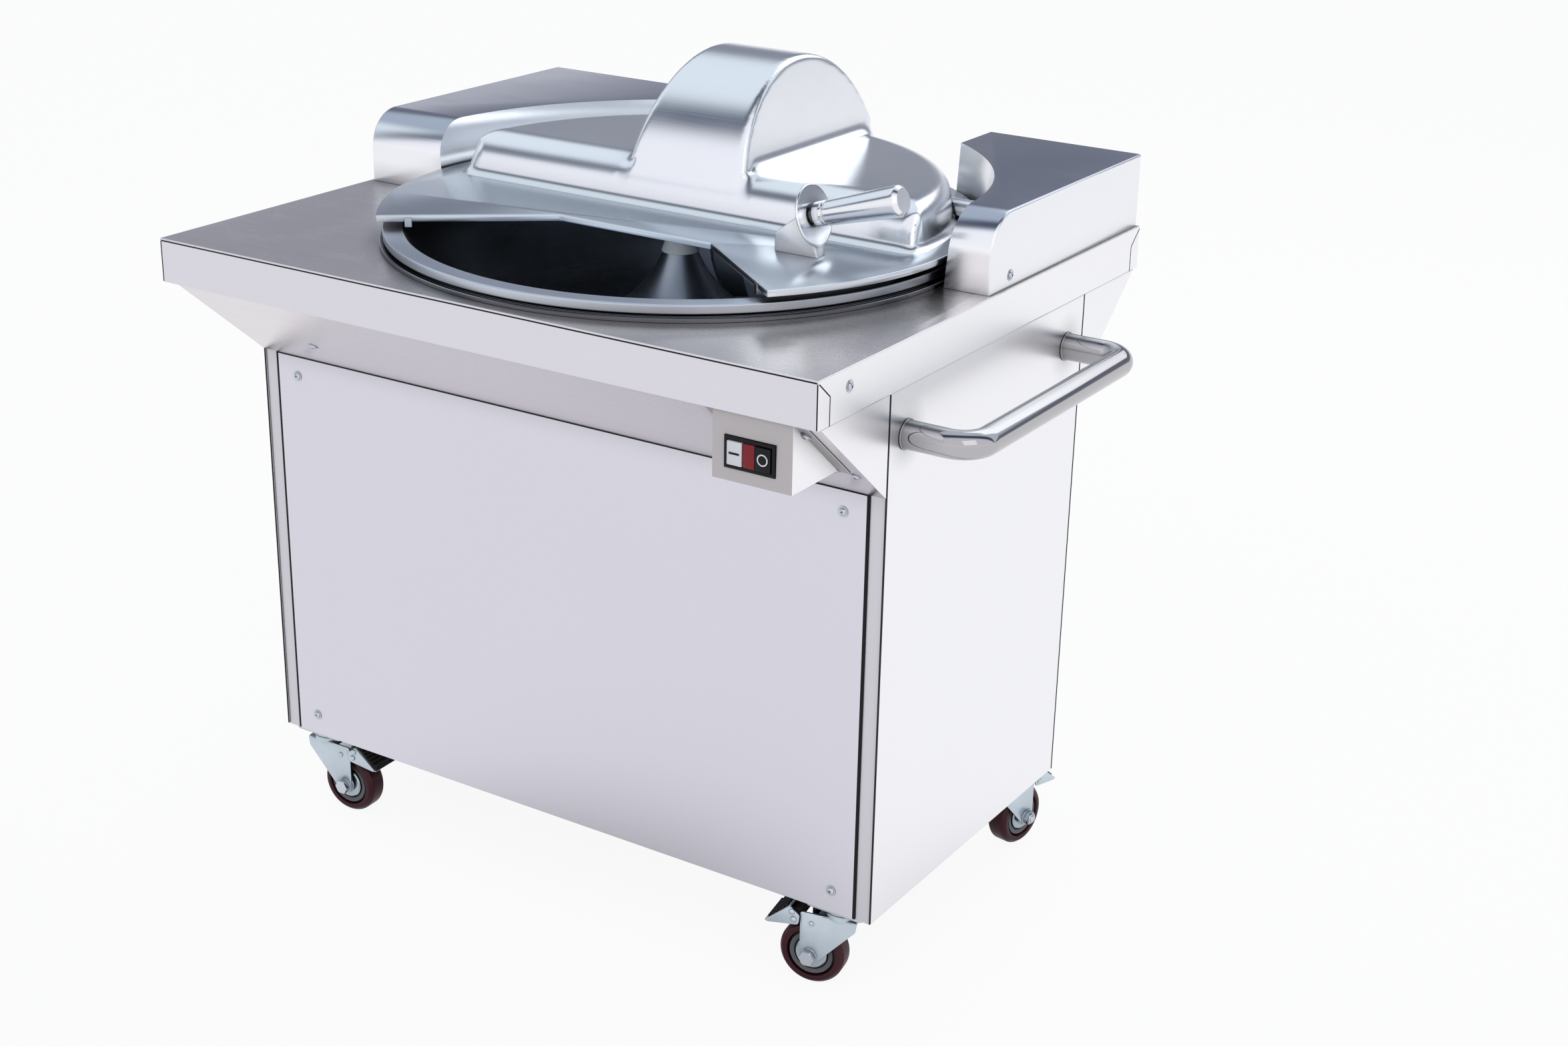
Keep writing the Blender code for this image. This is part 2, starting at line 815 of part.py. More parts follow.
def make_bowl():
    inner = trough_arc(trough_radius, shaft_height - cone_top_drop,
                       shaft_height - trough_flare_drop, trough_steps)
    outer = trough_arc(trough_radius + bowl_wall, shaft_height - trough_radius * cone_foot_share,
                       shaft_height - trough_flare_drop, arc_steps)
    under = bowl_rim_height - bowl_band
    floor = shaft_height - trough_radius - bowl_wall
    hub_low = floor - hub_drop
    cone_r, cone_z = inner[0]
    profile = [(0, cone_z)] + inner
    profile += [(bowl_mouth_radius, bowl_rim_height), (bowl_rim_radius, bowl_rim_height),
                (bowl_rim_radius, under), (skirt_radius, under),
                (skirt_radius, -sheet)]
    profile += list(reversed([p for p in outer if p[0] > hub_radius]))
    profile += [(hub_radius, hub_low), (0, hub_low)]
    mesh = turned_mesh("bowl", profile, fine_steps)
    place_mesh("bowl", mesh, "cast_aluminium", (bowl_x, bowl_y, table_height))
    top = cone_z + cap_height
    round_z = top - cap_height * cap_round_share
    cap = [(0, top), (cone_r * cap_top_share, top), (cone_r * cap_side_share, round_z),
           (cone_r - seat_gap, cone_z + seat_gap), (0, cone_z + seat_gap)]
    place_mesh("bowl_cap", turned_mesh("bowl_cap", cap, round_steps), "nylon",
               (bowl_x, bowl_y, table_height))
    return hub_low


cone_foot_share = 0.93
cap_round_share = 0.18
cap_side_share = 0.88


def make_gearbox(hub_low):
    """Hollow box with the worm wheel on the bowl's spindle and the worm beside it."""
    top, low = gear_z + box_height / 2, gear_z - box_height / 2
    x0, x1 = bowl_x - box_half, bowl_x + box_half
    y0, y1 = worm_y - box_wall - box_wing, bowl_y + box_half
    body = box_mesh("gearbox_housing", [((x0, y0, low), (x1, y1, top))])
    hollow = box_mesh("inside", [((x0 + box_wall, y0 + box_wall, low + box_wall),
                                  (x1 - box_wall, y1 - box_wall, top - box_wall))])
    spindle = (bowl_x, bowl_y)
    collar = rod_mesh("collar", [((*spindle, top - box_wall / 2), (*spindle, top + collar_height),
                                  bearing_collar, bearing_collar)], round_steps)
    radius = spindle_radius + running_gap
    bore = rod_mesh("bore", [((*spindle, low - overrun), (*spindle, top + collar_height + overrun),
                              radius, radius)], round_steps)
    radius = worm_journal + running_gap
    side_bore = rod_mesh("side_bore", [((x0 - overrun, worm_y, gear_z), (x1 + overrun, worm_y, gear_z),
                                        radius, radius)], small_steps)
    mesh = build_mesh("gearbox_housing", body, joins=(collar,), cuts=(hollow, bore, side_bore))
    place_mesh("gearbox_housing", mesh, "iron")
    hub_z = table_height + hub_low
    half = wheel_width / 2
    flange = spindle_radius * spindle_flange_share
    spindle_profile = [(0, hub_z - seat_gap - gear_z), (flange, hub_z - seat_gap - gear_z),
                       (flange, top + collar_height + running_gap - gear_z),
                       (spindle_radius, top + collar_height + running_gap - gear_z),
                       (spindle_radius, low - gear_z), (0, low - gear_z)]
    mesh = turned_mesh("bowl_spindle", spindle_profile, round_steps)
    place_mesh("bowl_spindle", mesh, "steel", (*spindle, gear_z))
    gear_turn = tooth_phase
    teeth = []
    for i in range(wheel_teeth):
        for share, radius in ((-tooth_root_share, wheel_root), (-tooth_tip_share, wheel_tip),
                              (tooth_tip_share, wheel_tip), (tooth_root_share, wheel_root)):
            angle = 2 * math.pi * (i + share) / wheel_teeth + gear_turn
            teeth.append((radius * math.cos(angle), radius * math.sin(angle)))
    radius = spindle_radius + seat_gap
    hole = list(reversed(arc((0, 0), radius, 0, 2 * math.pi, round_steps)[:-1]))
    mesh = outline_mesh("worm_wheel", teeth, 2 * half, (hole,))
    place_mesh("worm_wheel", mesh, "bronze", (*spindle, gear_z))
    make_worm(x0, x1)


box_wing = 0.022
spindle_flange_share = 1.5
tooth_phase = math.radians(-90)


def make_worm(x0, x1):
    """Worm beside the wheel: its thread passes through the gaps between the teeth."""
    pitch = 2 * math.pi * (wheel_tip + wheel_root) / 2 / wheel_teeth
    length = worm_turns * pitch
    helix = []
    count = worm_turns * small_steps
    radius = worm_core
    for i in range(count + 1):
        angle = 2 * math.pi * worm_turns * i / count + worm_phase
        helix.append((-length / 2 + length * i / count, radius * math.cos(angle),
                      radius * math.sin(angle)))
    thread = tube_mesh("thread", helix, worm_thread, 1)
    core = worm_core
    reach = worm_pulley_x + pulley_width / 2 + shaft_tail / 2 - bowl_x
    left = x0 - bowl_x + seat_gap
    rods = [((left, 0, 0), (reach, 0, 0), worm_journal, worm_journal)]
    shaft = rod_mesh("worm_shaft", rods, small_steps)
    body = rod_mesh("body", [((-length / 2 - pitch, 0, 0), (length / 2 + pitch, 0, 0), core, core)],
                    small_steps)
    mesh = build_mesh("worm_shaft", shaft, joins=(body, thread))
    smooth(mesh)
    place_mesh("worm_shaft", mesh, "steel", (bowl_x, worm_y, gear_z))
    mesh = pulley_mesh("worm_pulley", worm_pulley_radius, worm_journal + seat_gap)
    place_mesh("worm_pulley", mesh, "iron", (worm_pulley_x, worm_y, gear_z))


worm_phase = math.radians(90)


def pulley_profile(radius, width=pulley_width):
    """Outer side of a grooved pulley: two flanges with the belt's seat between them."""
    half = width / 2
    seat = belt_width / 2 + belt_gap
    lip = belt_thickness / 2
    return [(radius + lip, half), (radius + lip, seat), (radius, seat),
            (radius, -seat), (radius + lip, -seat), (radius + lip, -half)]


def pulley_mesh(name, radius, bore):
    half = pulley_width / 2
    profile = [(bore, half)] + pulley_profile(radius) + [(bore, -half)]
    return moved(turned_mesh(name, profile, round_steps, ring=True), along_x)


def belt_mesh(name, first, second):
    """Closed belt around two round pulleys given as (y, z, radius)."""
    (y0, z0, r0), (y1, z1, r1) = first, second
    distance = math.hypot(y1 - y0, z1 - z0)
    heading = math.atan2(z1 - z0, y1 - y0)
    lean = math.acos((r0 - r1) / distance)

    def loop(extra):
        points = arc((y0, z0), r0 + extra, heading + lean, heading + 2 * math.pi - lean, round_steps)
        points += arc((y1, z1), r1 + extra, heading - lean, heading + lean, round_steps)
        return points

    inner = list(reversed(loop(belt_gap)))
    return moved(outline_mesh(name, loop(belt_gap + belt_thickness), belt_width, (inner,)), facing_x)


def make_knife_drive():
    """Bearing with a long nose, the shaft in it, knives, nut and pulley."""
    reach = sleeve_reach
    nose = bowl_x + reach
    x1 = bearing_x + bearing_width
    foot = table_height + seat_gap
    block = moved(outline_mesh("bearing", [(-bearing_half, foot - shaft_z), (bearing_half, foot - shaft_z)]
                               + arc((0, 0), bearing_half, 0, math.pi), bearing_width),
                  facing_x, at(bearing_x + bearing_width / 2, shaft_y, shaft_z))
    tube = rod_mesh("nose", [((nose, shaft_y, shaft_z), (x1 - bearing_width / 2, shaft_y, shaft_z),
                              sleeve_radius, sleeve_radius)], round_steps)
    radius = shaft_radius + running_gap
    bore = rod_mesh("bore", [((nose - overrun, shaft_y, shaft_z), (x1 + overrun, shaft_y, shaft_z),
                              radius, radius)], round_steps)
    mesh = build_mesh("knife_bearing", block, joins=(tube,), cuts=(bore,))
    smooth(mesh)
    place_mesh("knife_bearing", mesh, "cast_aluminium")
    span = knife_pitch * (knife_count - 1)
    left = -span / 2 - knife_thickness / 2 - seat_gap - nut_length - shaft_end
    right = knife_pulley_x + pulley_width / 2 + shaft_tail - bowl_x
    collar = span / 2 + knife_thickness / 2
    profile = [(0, right), (shaft_radius, right), (shaft_radius, collar + collar_length),
               (spacer_radius, collar + collar_length), (spacer_radius, collar + seat_gap),
               (shaft_radius, collar + seat_gap), (shaft_radius, left), (0, left)]
    mesh = moved(turned_mesh("knife_shaft", profile, round_steps), along_x)
    place_mesh("knife_shaft", mesh, "steel", (bowl_x, shaft_y, shaft_z))
    make_knives(span)
    mesh = pulley_mesh("knife_pulley", knife_pulley_radius, shaft_radius + seat_gap)
    place_mesh("knife_pulley", mesh, "iron", (knife_pulley_x, shaft_y, shaft_z))


collar_length = 0.012
shaft_end = 0.003


def knife_outline():
    """Sickle blade: the cutting edge swings out to the tip, the back curls behind it."""
    edge = []
    count = small_steps
    for i in range(count + 1):
        share = i / count
        angle = math.radians(edge_sweep) * share
        radius = knife_root + (knife_radius - knife_root) * share ** edge_curve
        edge.append((radius * math.cos(angle), radius * math.sin(angle)))
    back = []
    for i in range(count + 1):
        share = 1 - i / count
        angle = math.radians(back_start + (edge_sweep + tip_width - back_start) * share)
        radius = knife_root + (knife_radius - knife_root) * share ** back_curve
        back.append((radius * math.cos(angle), radius * math.sin(angle)))
    heel = arc((0, 0), knife_root, math.radians(back_start), math.radians(360), small_steps)
    return edge + back[:-1] + heel[:-1]


edge_sweep = 88.0
edge_curve = 0.62
back_start = 62.0
back_curve = 1.25
tip_width = 16.0


def make_knives(span):
    radius = shaft_radius + seat_gap
    hole = list(reversed(arc((0, 0), radius, 0, 2 * math.pi, round_steps)[:-1]))
    mesh = moved(outline_mesh("knife", knife_outline(), knife_thickness, (hole,)), facing_x)
    for i in range(knife_count):
        x = bowl_x - span / 2 + knife_pitch * i
        turn = (2 * math.pi * i / knife_count + knife_rest_turn, 0, 0)
        place_mesh("knife_%d" % (i + 1), mesh, "knife_steel", (x, shaft_y, shaft_z), turn)
    half = (knife_pitch - knife_thickness) / 2 - seat_gap
    for i in range(1, knife_count):
        ring = [(spacer_radius, half), (spacer_radius, -half), (radius, -half), (radius, half)]
        mesh = moved(turned_mesh("knife_spacer", ring, round_steps, ring=True), along_x)
        x = bowl_x - span / 2 + knife_pitch * (i - 1 / 2)
        place_mesh("knife_spacer_%d" % i, mesh, "steel", (x, shaft_y, shaft_z))
    seat = -span / 2 - knife_thickness / 2 - seat_gap
    nut = rod_mesh("nut", [((seat - nut_length, 0, 0), (seat - nut_washer / 2, 0, 0),
                            nut_radius, nut_radius)], 6)
    washer = rod_mesh("washer", [((seat - nut_washer, 0, 0), (seat, 0, 0),
                                  spacer_radius, spacer_radius)], round_steps)
    cut = rod_mesh("bore", [((seat - nut_length - overrun, 0, 0), (seat + overrun, 0, 0),
                             radius, radius)], round_steps)
    nut = build_mesh("nut", nut, joins=(washer,), cuts=(cut,))
    place_mesh("knife_nut", nut, "steel", (bowl_x, shaft_y, shaft_z))


knife_rest_turn = math.radians(40)


def joined(name, meshes):
    """Put separate solids into one mesh."""
    shape = bmesh.new()
    for mesh in meshes:
        shape.from_mesh(mesh)
    result = bpy.data.meshes.new(name)
    shape.to_mesh(result)
    shape.free()
    return result


def make_motor():
    """Finned motor on the frame's platform, with a double pulley and both belts."""
    middle = motor_x - motor_length / 2
    x0 = motor_x - motor_length
    body = rod_mesh("motor", [((x0, motor_y, motor_z), (motor_x, motor_y, motor_z),
                               motor_radius, motor_radius)], round_steps)
    foot_low = motor_seat_z + seat_gap
    feet = box_mesh("feet", [((middle - motor_length / 3, motor_y - motor_radius, foot_low),
                              (middle + motor_length / 3, motor_y + motor_radius,
                               foot_low + motor_foot))])
    saddle = box_mesh("saddle", [((middle - motor_length / 4, motor_y - motor_radius / 2,
                                   foot_low + motor_foot / 2),
                                  (middle + motor_length / 4, motor_y + motor_radius / 2, motor_z))])
    fins = []
    for i in range(motor_fins):
        turn = math.radians(fin_start) + math.radians(fin_span) * i / (motor_fins - 1)
        blade = box_mesh("fin", [((x0 + fin_inset, -fin_width / 2, motor_radius - fin_depth),
                                  (motor_x - fin_inset, fin_width / 2, motor_radius + fin_depth))])
        fins.append(moved(blade, Matrix.Rotation(turn, 4, "X"), at(0, motor_y, motor_z)))
    radius = motor_shaft_radius + running_gap
    bore = rod_mesh("bore", [((x0 + motor_length / 2, motor_y, motor_z),
                              (motor_x + overrun, motor_y, motor_z), radius, radius)], round_steps)
    mesh = build_mesh("motor", body, joins=(saddle, feet, joined("fins", fins)), cuts=(bore,))
    smooth(mesh)
    place_mesh("motor", mesh, "iron")
    right = knife_pulley_x + pulley_width / 2 + shaft_tail
    start = x0 + motor_length / 2 + seat_gap
    shaft = rod_mesh("motor_shaft", [((start - motor_x, 0, 0), (right - motor_x, 0, 0),
                                      motor_shaft_radius, motor_shaft_radius)], round_steps)
    smooth(shaft)
    place_mesh("motor_shaft", shaft, "steel", (motor_x, motor_y, motor_z))
    bore = motor_shaft_radius + seat_gap
    step = worm_pulley_x - knife_pulley_x
    large = pulley_profile(motor_pulley_radius, pulley_width + 2 * pulley_gap / 3)
    small = [(r, x + step) for r, x in pulley_profile(small_pulley_radius,
                                                      pulley_width + 2 * pulley_gap / 3)]
    profile = [(bore, large[0][1])] + large + small + [(bore, small[-1][1])]
    mesh = moved(turned_mesh("motor_pulley", profile, round_steps, ring=True), along_x)
    place_mesh("motor_pulley", mesh, "iron", (knife_pulley_x, motor_y, motor_z))
    mesh = belt_mesh("knife_belt", (shaft_y, shaft_z, knife_pulley_radius),
                     (motor_y, motor_z, motor_pulley_radius))
    place_mesh("knife_belt", mesh, "rubber", (knife_pulley_x, 0, 0))
    mesh = belt_mesh("bowl_belt", (worm_y, gear_z, worm_pulley_radius),
                     (motor_y, motor_z, small_pulley_radius))
    place_mesh("bowl_belt", mesh, "rubber", (worm_pulley_x, 0, 0))


fin_start = -115.0
fin_span = 230.0
fin_inset = 0.030
fin_width = 0.004


def cover_outline():
    """Round plate with a straight-sided mouth at the front for loading the bowl."""
    rim = arc((0, 0), cover_radius, mouth_right_turn, mouth_left_turn, fine_steps)
    return rim + [(-mouth_left, -mouth_back), (mouth_right, -mouth_back)]


def front_slope():
    """Where the hood's front wall, rising from its foot, touches the dome's circle."""
    foot = Vector((-hood_front, cover_top))
    centre = Vector((trough_centre, shaft_height))
    out = foot - centre
    turn = math.atan2(out.y, out.x) % (2 * math.pi) - math.acos(dome_radius / out.length)
    touch = centre + dome_radius * Vector((math.cos(turn), math.sin(turn)))
    return foot, touch, turn


def dome_outline(radius, inset, low):
    foot, touch, turn = front_slope()
    centre = (trough_centre, shaft_height)
    lean = (touch - foot).normalized()
    foot = foot + lean * ((low - cover_top) / lean.y) + Vector((inset, 0))
    rear = trough_centre + radius
    points = [tuple(foot)] + list(arc(centre, radius, turn, 0, dome_steps))
    return points + [(rear, low)]


def low_hood_outline(inset, low):
    """Side view of the low hood: sloping front, big round, flat top."""
    foot, touch, turn = front_slope()
    lean = math.atan2(touch.y - foot.y, touch.x - foot.x)
    radius = hood_front_round - inset
    top = hood_top - inset
    start = top - radius * (1 - math.cos(lean))
    x = foot.x + (start - foot.y) / math.tan(lean) + inset / math.sin(lean)
    centre = (x + radius * math.sin(lean), top - radius)
    base = (foot.x + (low - foot.y) / math.tan(lean) + inset / math.sin(lean), low)
    rear = cover_radius
    return [base] + arc(centre, radius, math.pi / 2 + lean, math.pi / 2) + [(rear, top), (rear, low)]


def drum_mesh(name, base_radius, top, low, edge, radius_at_low):
    """Round drafted body with a rounded upper edge."""
    top_radius = base_radius - (top - cover_top) * draft
    lean = math.atan(draft)
    side_turn = lean
    centre = (top_radius - edge * (1 - math.sin(lean)) / math.cos(lean), top - edge)
    rounding = arc(centre, edge, math.pi / 2, side_turn, arc_steps // 2)
    profile = [(0, top)] + rounding + [(base_radius, cover_top), (radius_at_low, low), (0, low)]
    return turned_mesh(name, profile, fine_steps)


def taper_ends(mesh, half):
    """Lean both flat ends inwards towards the top by the casting's draft."""
    for vertex in mesh.vertices:
        side = 1 if vertex.co.x > 0 else -1
        vertex.co.x = side * (half - draft * (vertex.co.z - shaft_height))
    mesh.update()
    return mesh


def make_cover():
    """One hollow casting: plate, lip, low hood, dome and hinge lugs."""
    lip_low = bowl_rim_height + lip_clearance
    under = cover_top - cover_thickness
    deep = cover_top - lip_low
    plate = moved(outline_mesh("plate", cover_outline(), deep), at(0, 0, lip_low + deep / 2))
    wide = cover_radius + overrun
    rebate = turned_mesh("rebate", [(lip_outer, under), (wide, under), (wide, lip_low - overrun),
                                    (lip_outer, lip_low - overrun)], fine_steps, ring=True)
    core = rod_mesh("core", [((0, 0, lip_low - overrun), (0, 0, under), lip_inner, lip_inner)],
                    fine_steps)
    plate = build_mesh("plate", plate, cuts=(rebate, core))
    low = under + seat_gap
    drum = drum_mesh("drum", hood_radius, hood_top, low, hood_edge_round, hood_radius)
    shape = moved(outline_mesh("shape", low_hood_outline(0, low), 2 * cover_radius), facing_x)
    drum = build_mesh("drum", drum, overlap=shape)
    dome = taper_ends(moved(outline_mesh("dome", dome_outline(dome_radius, set_back, low),
                                         dome_half_width), facing_x), dome_half_width)
    low = lip_low - overrun
    radius = lip_inner - set_back
    inner_drum = drum_mesh("inner_drum", radius, hood_top - hood_wall, low,
                           hood_edge_round - hood_wall, radius)
    inner_shape = moved(outline_mesh("inner_shape", low_hood_outline(hood_wall, low),
                                     2 * cover_radius), facing_x)
    inner_drum = build_mesh("inner_drum", inner_drum, overlap=inner_shape)
    inner_dome = taper_ends(moved(outline_mesh("inner_dome",
                                               dome_outline(dome_radius - hood_wall,
                                                            hood_wall + 2 * set_back,
                                                            low - overrun),
                                               dome_half_width), facing_x),
                            dome_half_width - hood_wall)
    half = sleeve_radius + notch_gap
    notch_points = arc((trough_centre, shaft_height), half, 0, math.pi, small_steps)
    notch_points += [(trough_centre - half, low), (trough_centre + half, low)]
    notch = moved(outline_mesh("notch", notch_points, cover_radius - dome_half_width), facing_x,
                  at((cover_radius + dome_half_width) / 2 + overrun, 0, 0))
    relief = box_mesh("relief", [((-lip_relief, lip_inner - overrun, lip_low - overrun),
                                  (lip_relief, lip_outer + overrun, under - set_back))])
    lugs = lug_meshes()
    pin_hole = rod_mesh("pin_hole", [((-2 * lug_spacing, hinge_reach, hinge_height),
                                      (2 * lug_spacing, hinge_reach, hinge_height),
                                      pin_radius + seat_gap, pin_radius + seat_gap)], small_steps)
    mesh = build_mesh("cover", plate, joins=(drum, dome, *lugs),
                      cuts=(inner_drum, inner_dome, notch, relief, pin_hole))
    smooth(mesh)
    hinge = pivot("cover_pivot", (bowl_x, hinge_y, hinge_z))
    place_mesh("cover", mesh, "cast_aluminium", on_pivot(hinge, (bowl_x, bowl_y, table_height)),
               parent=hinge)
    return hinge


def lug_meshes():
    """Two ears on the back of the hood that reach to the hinge pin."""
    start = hood_radius - lug_root
    base = [(start, hinge_height - lug_radius), (hinge_reach, hinge_height - lug_radius)]
    round_end = arc((hinge_reach, hinge_height), lug_radius, -math.pi / 2, math.pi / 2)
    outline = base[:1] + round_end + [(start, hinge_height + lug_radius)]
    return [moved(outline_mesh("lug", outline, lug_width), facing_x, at(side * lug_spacing, 0, 0))
            for side in (-1, 1)]


lug_root = 0.010


foot_rim = 0.002
arm_throat = 1.6


def make_hinge():
    """Pin and the two brackets that stand on the worktop behind the bowl."""
    outer = lug_spacing + lug_width / 2 + arm_width + 3 * seat_gap
    reach = outer + pin_overhang
    pin = rod_mesh("hinge_pin", [((-reach, 0, 0), (reach, 0, 0), pin_radius, pin_radius)], small_steps)
    smooth(pin)
    place_mesh("hinge_pin", pin, "steel", (bowl_x, hinge_y, hinge_z))
    rear = table_depth / 2 - bowl_y - pod_edge
    front = rear - bracket_foot
    low = seat_gap
    high = hinge_height
    back, start = rear - foot_rim, low + bracket_base / 2
    outline = [(front, start), (back, start), (back, high - lug_radius)]
    outline += arc((hinge_reach, high), lug_radius, math.radians(30), math.radians(235), 2 * arc_steps)
    outline.append((front, high - arm_throat * lug_radius))
    arms = []
    middle = outer - arm_width / 2
    for side in (-1, 1):
        arms.append(moved(outline_mesh("arm", outline, arm_width), facing_x, at(side * middle, 0, 0)))
    wide = outer + foot_rim
    foot = box_mesh("foot", [((-wide, front - foot_rim, low), (wide, rear, low + bracket_base))])
    radius = pin_radius + seat_gap
    hole = rod_mesh("hole", [((-reach - overrun, hinge_reach, high), (reach + overrun, hinge_reach, high),
                              radius, radius)], small_steps)
    mesh = build_mesh("hinge_bracket", foot, joins=arms, cuts=(hole,))
    place_mesh("hinge_bracket", mesh, "cast_aluminium", (bowl_x, bowl_y, table_height))


def make_cover_handle(hinge):
    """Wedge block, round guard and tapered grip, all tilted up together."""
    x = bowl_x + block_left
    y = bowl_y - block_front
    z = cover_z + seat_gap
    run = block_length
    nose = block_low
    outline = [(0, 0), (run, 0), (run - (block_high - 0) * math.tan(handle_tilt), block_high)]
    outline += arc((nose, block_low), nose, math.pi - math.radians(nose_turn), math.pi, arc_steps // 2)
    block = moved(outline_mesh("handle_block", outline, block_width), facing_y)
    place_mesh("handle_block", block, "cast_aluminium",
               on_pivot(hinge, (x, y + block_width / 2, z)), parent=hinge)
    lean = Vector((math.cos(handle_tilt), 0, math.sin(handle_tilt)))
    up = Vector((-math.sin(handle_tilt), 0, math.cos(handle_tilt)))
    foot = Vector((x + run, y + block_width / 2, z))
    centre = foot + up * (guard_height - seat_gap) + lean * seat_gap
    turn = (0, math.pi / 2 - handle_tilt, 0)
    edge = guard_thickness / 2
    guard = [(0, guard_thickness), (guard_radius - edge, guard_thickness), (guard_radius, edge),
             (guard_radius - edge, 0), (0, 0)]
    place_mesh("handle_guard", turned_mesh("handle_guard", guard, round_steps), "polished",
               on_pivot(hinge, centre), turn, hinge)
    start = centre + lean * (guard_thickness + seat_gap)
    end = grip_length
    grip = [(0, end), (grip_end_radius - grip_crown, end), (grip_end_radius, end - grip_crown),
            (grip_root_radius, grip_neck + grip_crown), (grip_neck_radius, grip_neck),
            (grip_neck_radius, 0), (0, 0)]
    place_mesh("cover_grip", turned_mesh("cover_grip", grip, round_steps), "polished",
               on_pivot(hinge, start), turn, hinge)


nose_turn = 62.0


def fork_mesh():
    """Pressed fork with its race, axle bolt and the eyes for the brake pedal."""
    top = -fork_top_drop
    axle = (trail, fork_axle_z)
    brake = (trail + brake_ahead, fork_axle_z + brake_above)
    cheek = [(-fork_back, top), (trail, top)]
    cheek += arc(brake, brake_eye, math.radians(80), math.radians(-80), arc_steps // 2)
    cheek += [(axle[0] + fork_eye, brake[1] - brake_eye)]
    cheek += arc(axle, fork_eye, 0, math.radians(-150), arc_steps)
    cheek += [(-fork_back, top - 2 * fork_sheet * cheek_drop)]
    turned = []
    side = (fork_gap + fork_sheet) / 2
    for y in (-side, side):
        turned.append(moved(outline_mesh("cheek", cheek, fork_sheet), facing_y, at(0, y, 0)))
    wide = fork_gap / 2 + fork_sheet
    inside = wide - fork_sheet / 3
    crown = box_mesh("crown", [((-fork_back + fork_sheet, -inside, top - fork_sheet),
                                (trail - fork_front, inside, top + fork_sheet / 3))])
    race = rod_mesh("race", [((0, 0, top - fork_sheet / 2),
                              (0, 0, -plate_thickness - race_height - running_gap),
                              race_radius, race_radius)], castor_steps)
    reach = wide + axle_head_height
    bolt = rod_mesh("bolt", [((trail, -reach, fork_axle_z), (trail, reach, fork_axle_z),
                              axle_radius, axle_radius)], bolt_steps)
    heads = rod_mesh("heads", [((trail, -reach, fork_axle_z), (trail, -wide + overrun / 4, fork_axle_z),
                                axle_head, axle_head),
                               ((trail, wide - overrun / 4, fork_axle_z), (trail, reach, fork_axle_z),
                                axle_head, axle_head)], 6)
    hole = brake_pin_radius + seat_gap
    pin = rod_mesh("pin_hole", [((brake[0], -reach, brake[1]), (brake[0], reach, brake[1]),
                                 hole, hole)], bolt_steps)
    return build_mesh("fork", turned[0], joins=(turned[1], crown, race, bolt, heads), cuts=(pin,))


cheek_drop = 3.0


def wheel_mesh():
    """Tyre, rim and hub in one turned profile along Y."""
    half, hub = tread_width / 2, wheel_hub_width / 2
    bore = axle_radius + running_gap
    rim_in = wheel_radius * rim_inner_share
    boss = wheel_radius * boss_share
    web = half * web_share
    crown = wheel_radius * crown_share
    profile = [(bore, hub), (boss, hub), (boss, web), (rim_in, web), (crown, half),
               (wheel_radius, half * tread_share), (wheel_radius, -half * tread_share),
               (crown, -half), (rim_in, -web), (boss, -web), (boss, -hub), (bore, -hub)]
    mesh = turned_mesh("wheel", profile, castor_steps, ring=True)
    return moved(mesh, Matrix.Rotation(math.radians(-90), 4, "X"))


rim_inner_share = 0.72
boss_share = 0.36
web_share = 0.55
crown_share = 0.93
tread_share = 0.70


def pedal_mesh():
    """Foot pedal that clasps the fork's eyes and swings on its own pin."""
    eye = arc((0, 0), brake_eye, math.radians(110), math.radians(275), arc_steps // 2)
    tip = (pedal_reach, -pedal_fall)
    crest = (pedal_crest, pedal_rise)
    cheek = eye + [(tip[0] - brake_eye, tip[1]), tip, crest]
    inner = fork_gap / 2 + fork_sheet + running_gap
    middle = inner + pedal_sheet / 2
    cheeks = [moved(outline_mesh("cheek", cheek, pedal_sheet), facing_y, at(0, side * middle, 0))
              for side in (-1, 1)]
    run = Vector((tip[0] - crest[0], tip[1] - crest[1])).normalized()
    out = Vector((-run.y, run.x)) * pedal_sheet
    first, last = Vector(crest) - run * pedal_sheet, Vector(tip) + run * pedal_sheet
    plate = [tuple(first - out / 2), tuple(last - out / 2), tuple(last + out), tuple(first + out)]
    plate = moved(outline_mesh("plate", plate, 2 * middle), facing_y)
    pin = rod_mesh("pin", [((0, -inner - pedal_sheet - brake_pin_radius, 0),
                            (0, inner + pedal_sheet + brake_pin_radius, 0),
                            brake_pin_radius, brake_pin_radius)], bolt_steps)
    return build_mesh("pedal", cheeks[0], joins=(cheeks[1], plate, pin))


pedal_crest = 0.003


def castor_plate_mesh():
    """Top plate with the fixed half of the ball race pressed under it."""
    half_x, half_y = plate_length / 2, plate_width / 2
    plate = box_mesh("plate", [((-half_x, -half_y, -plate_thickness), (half_x, half_y, 0))])
    race = rod_mesh("race", [((0, 0, -plate_thickness - race_height), (0, 0, -plate_thickness / 2),
                              race_radius, race_radius)], castor_steps)
    return build_mesh("plate", plate, joins=(race,))


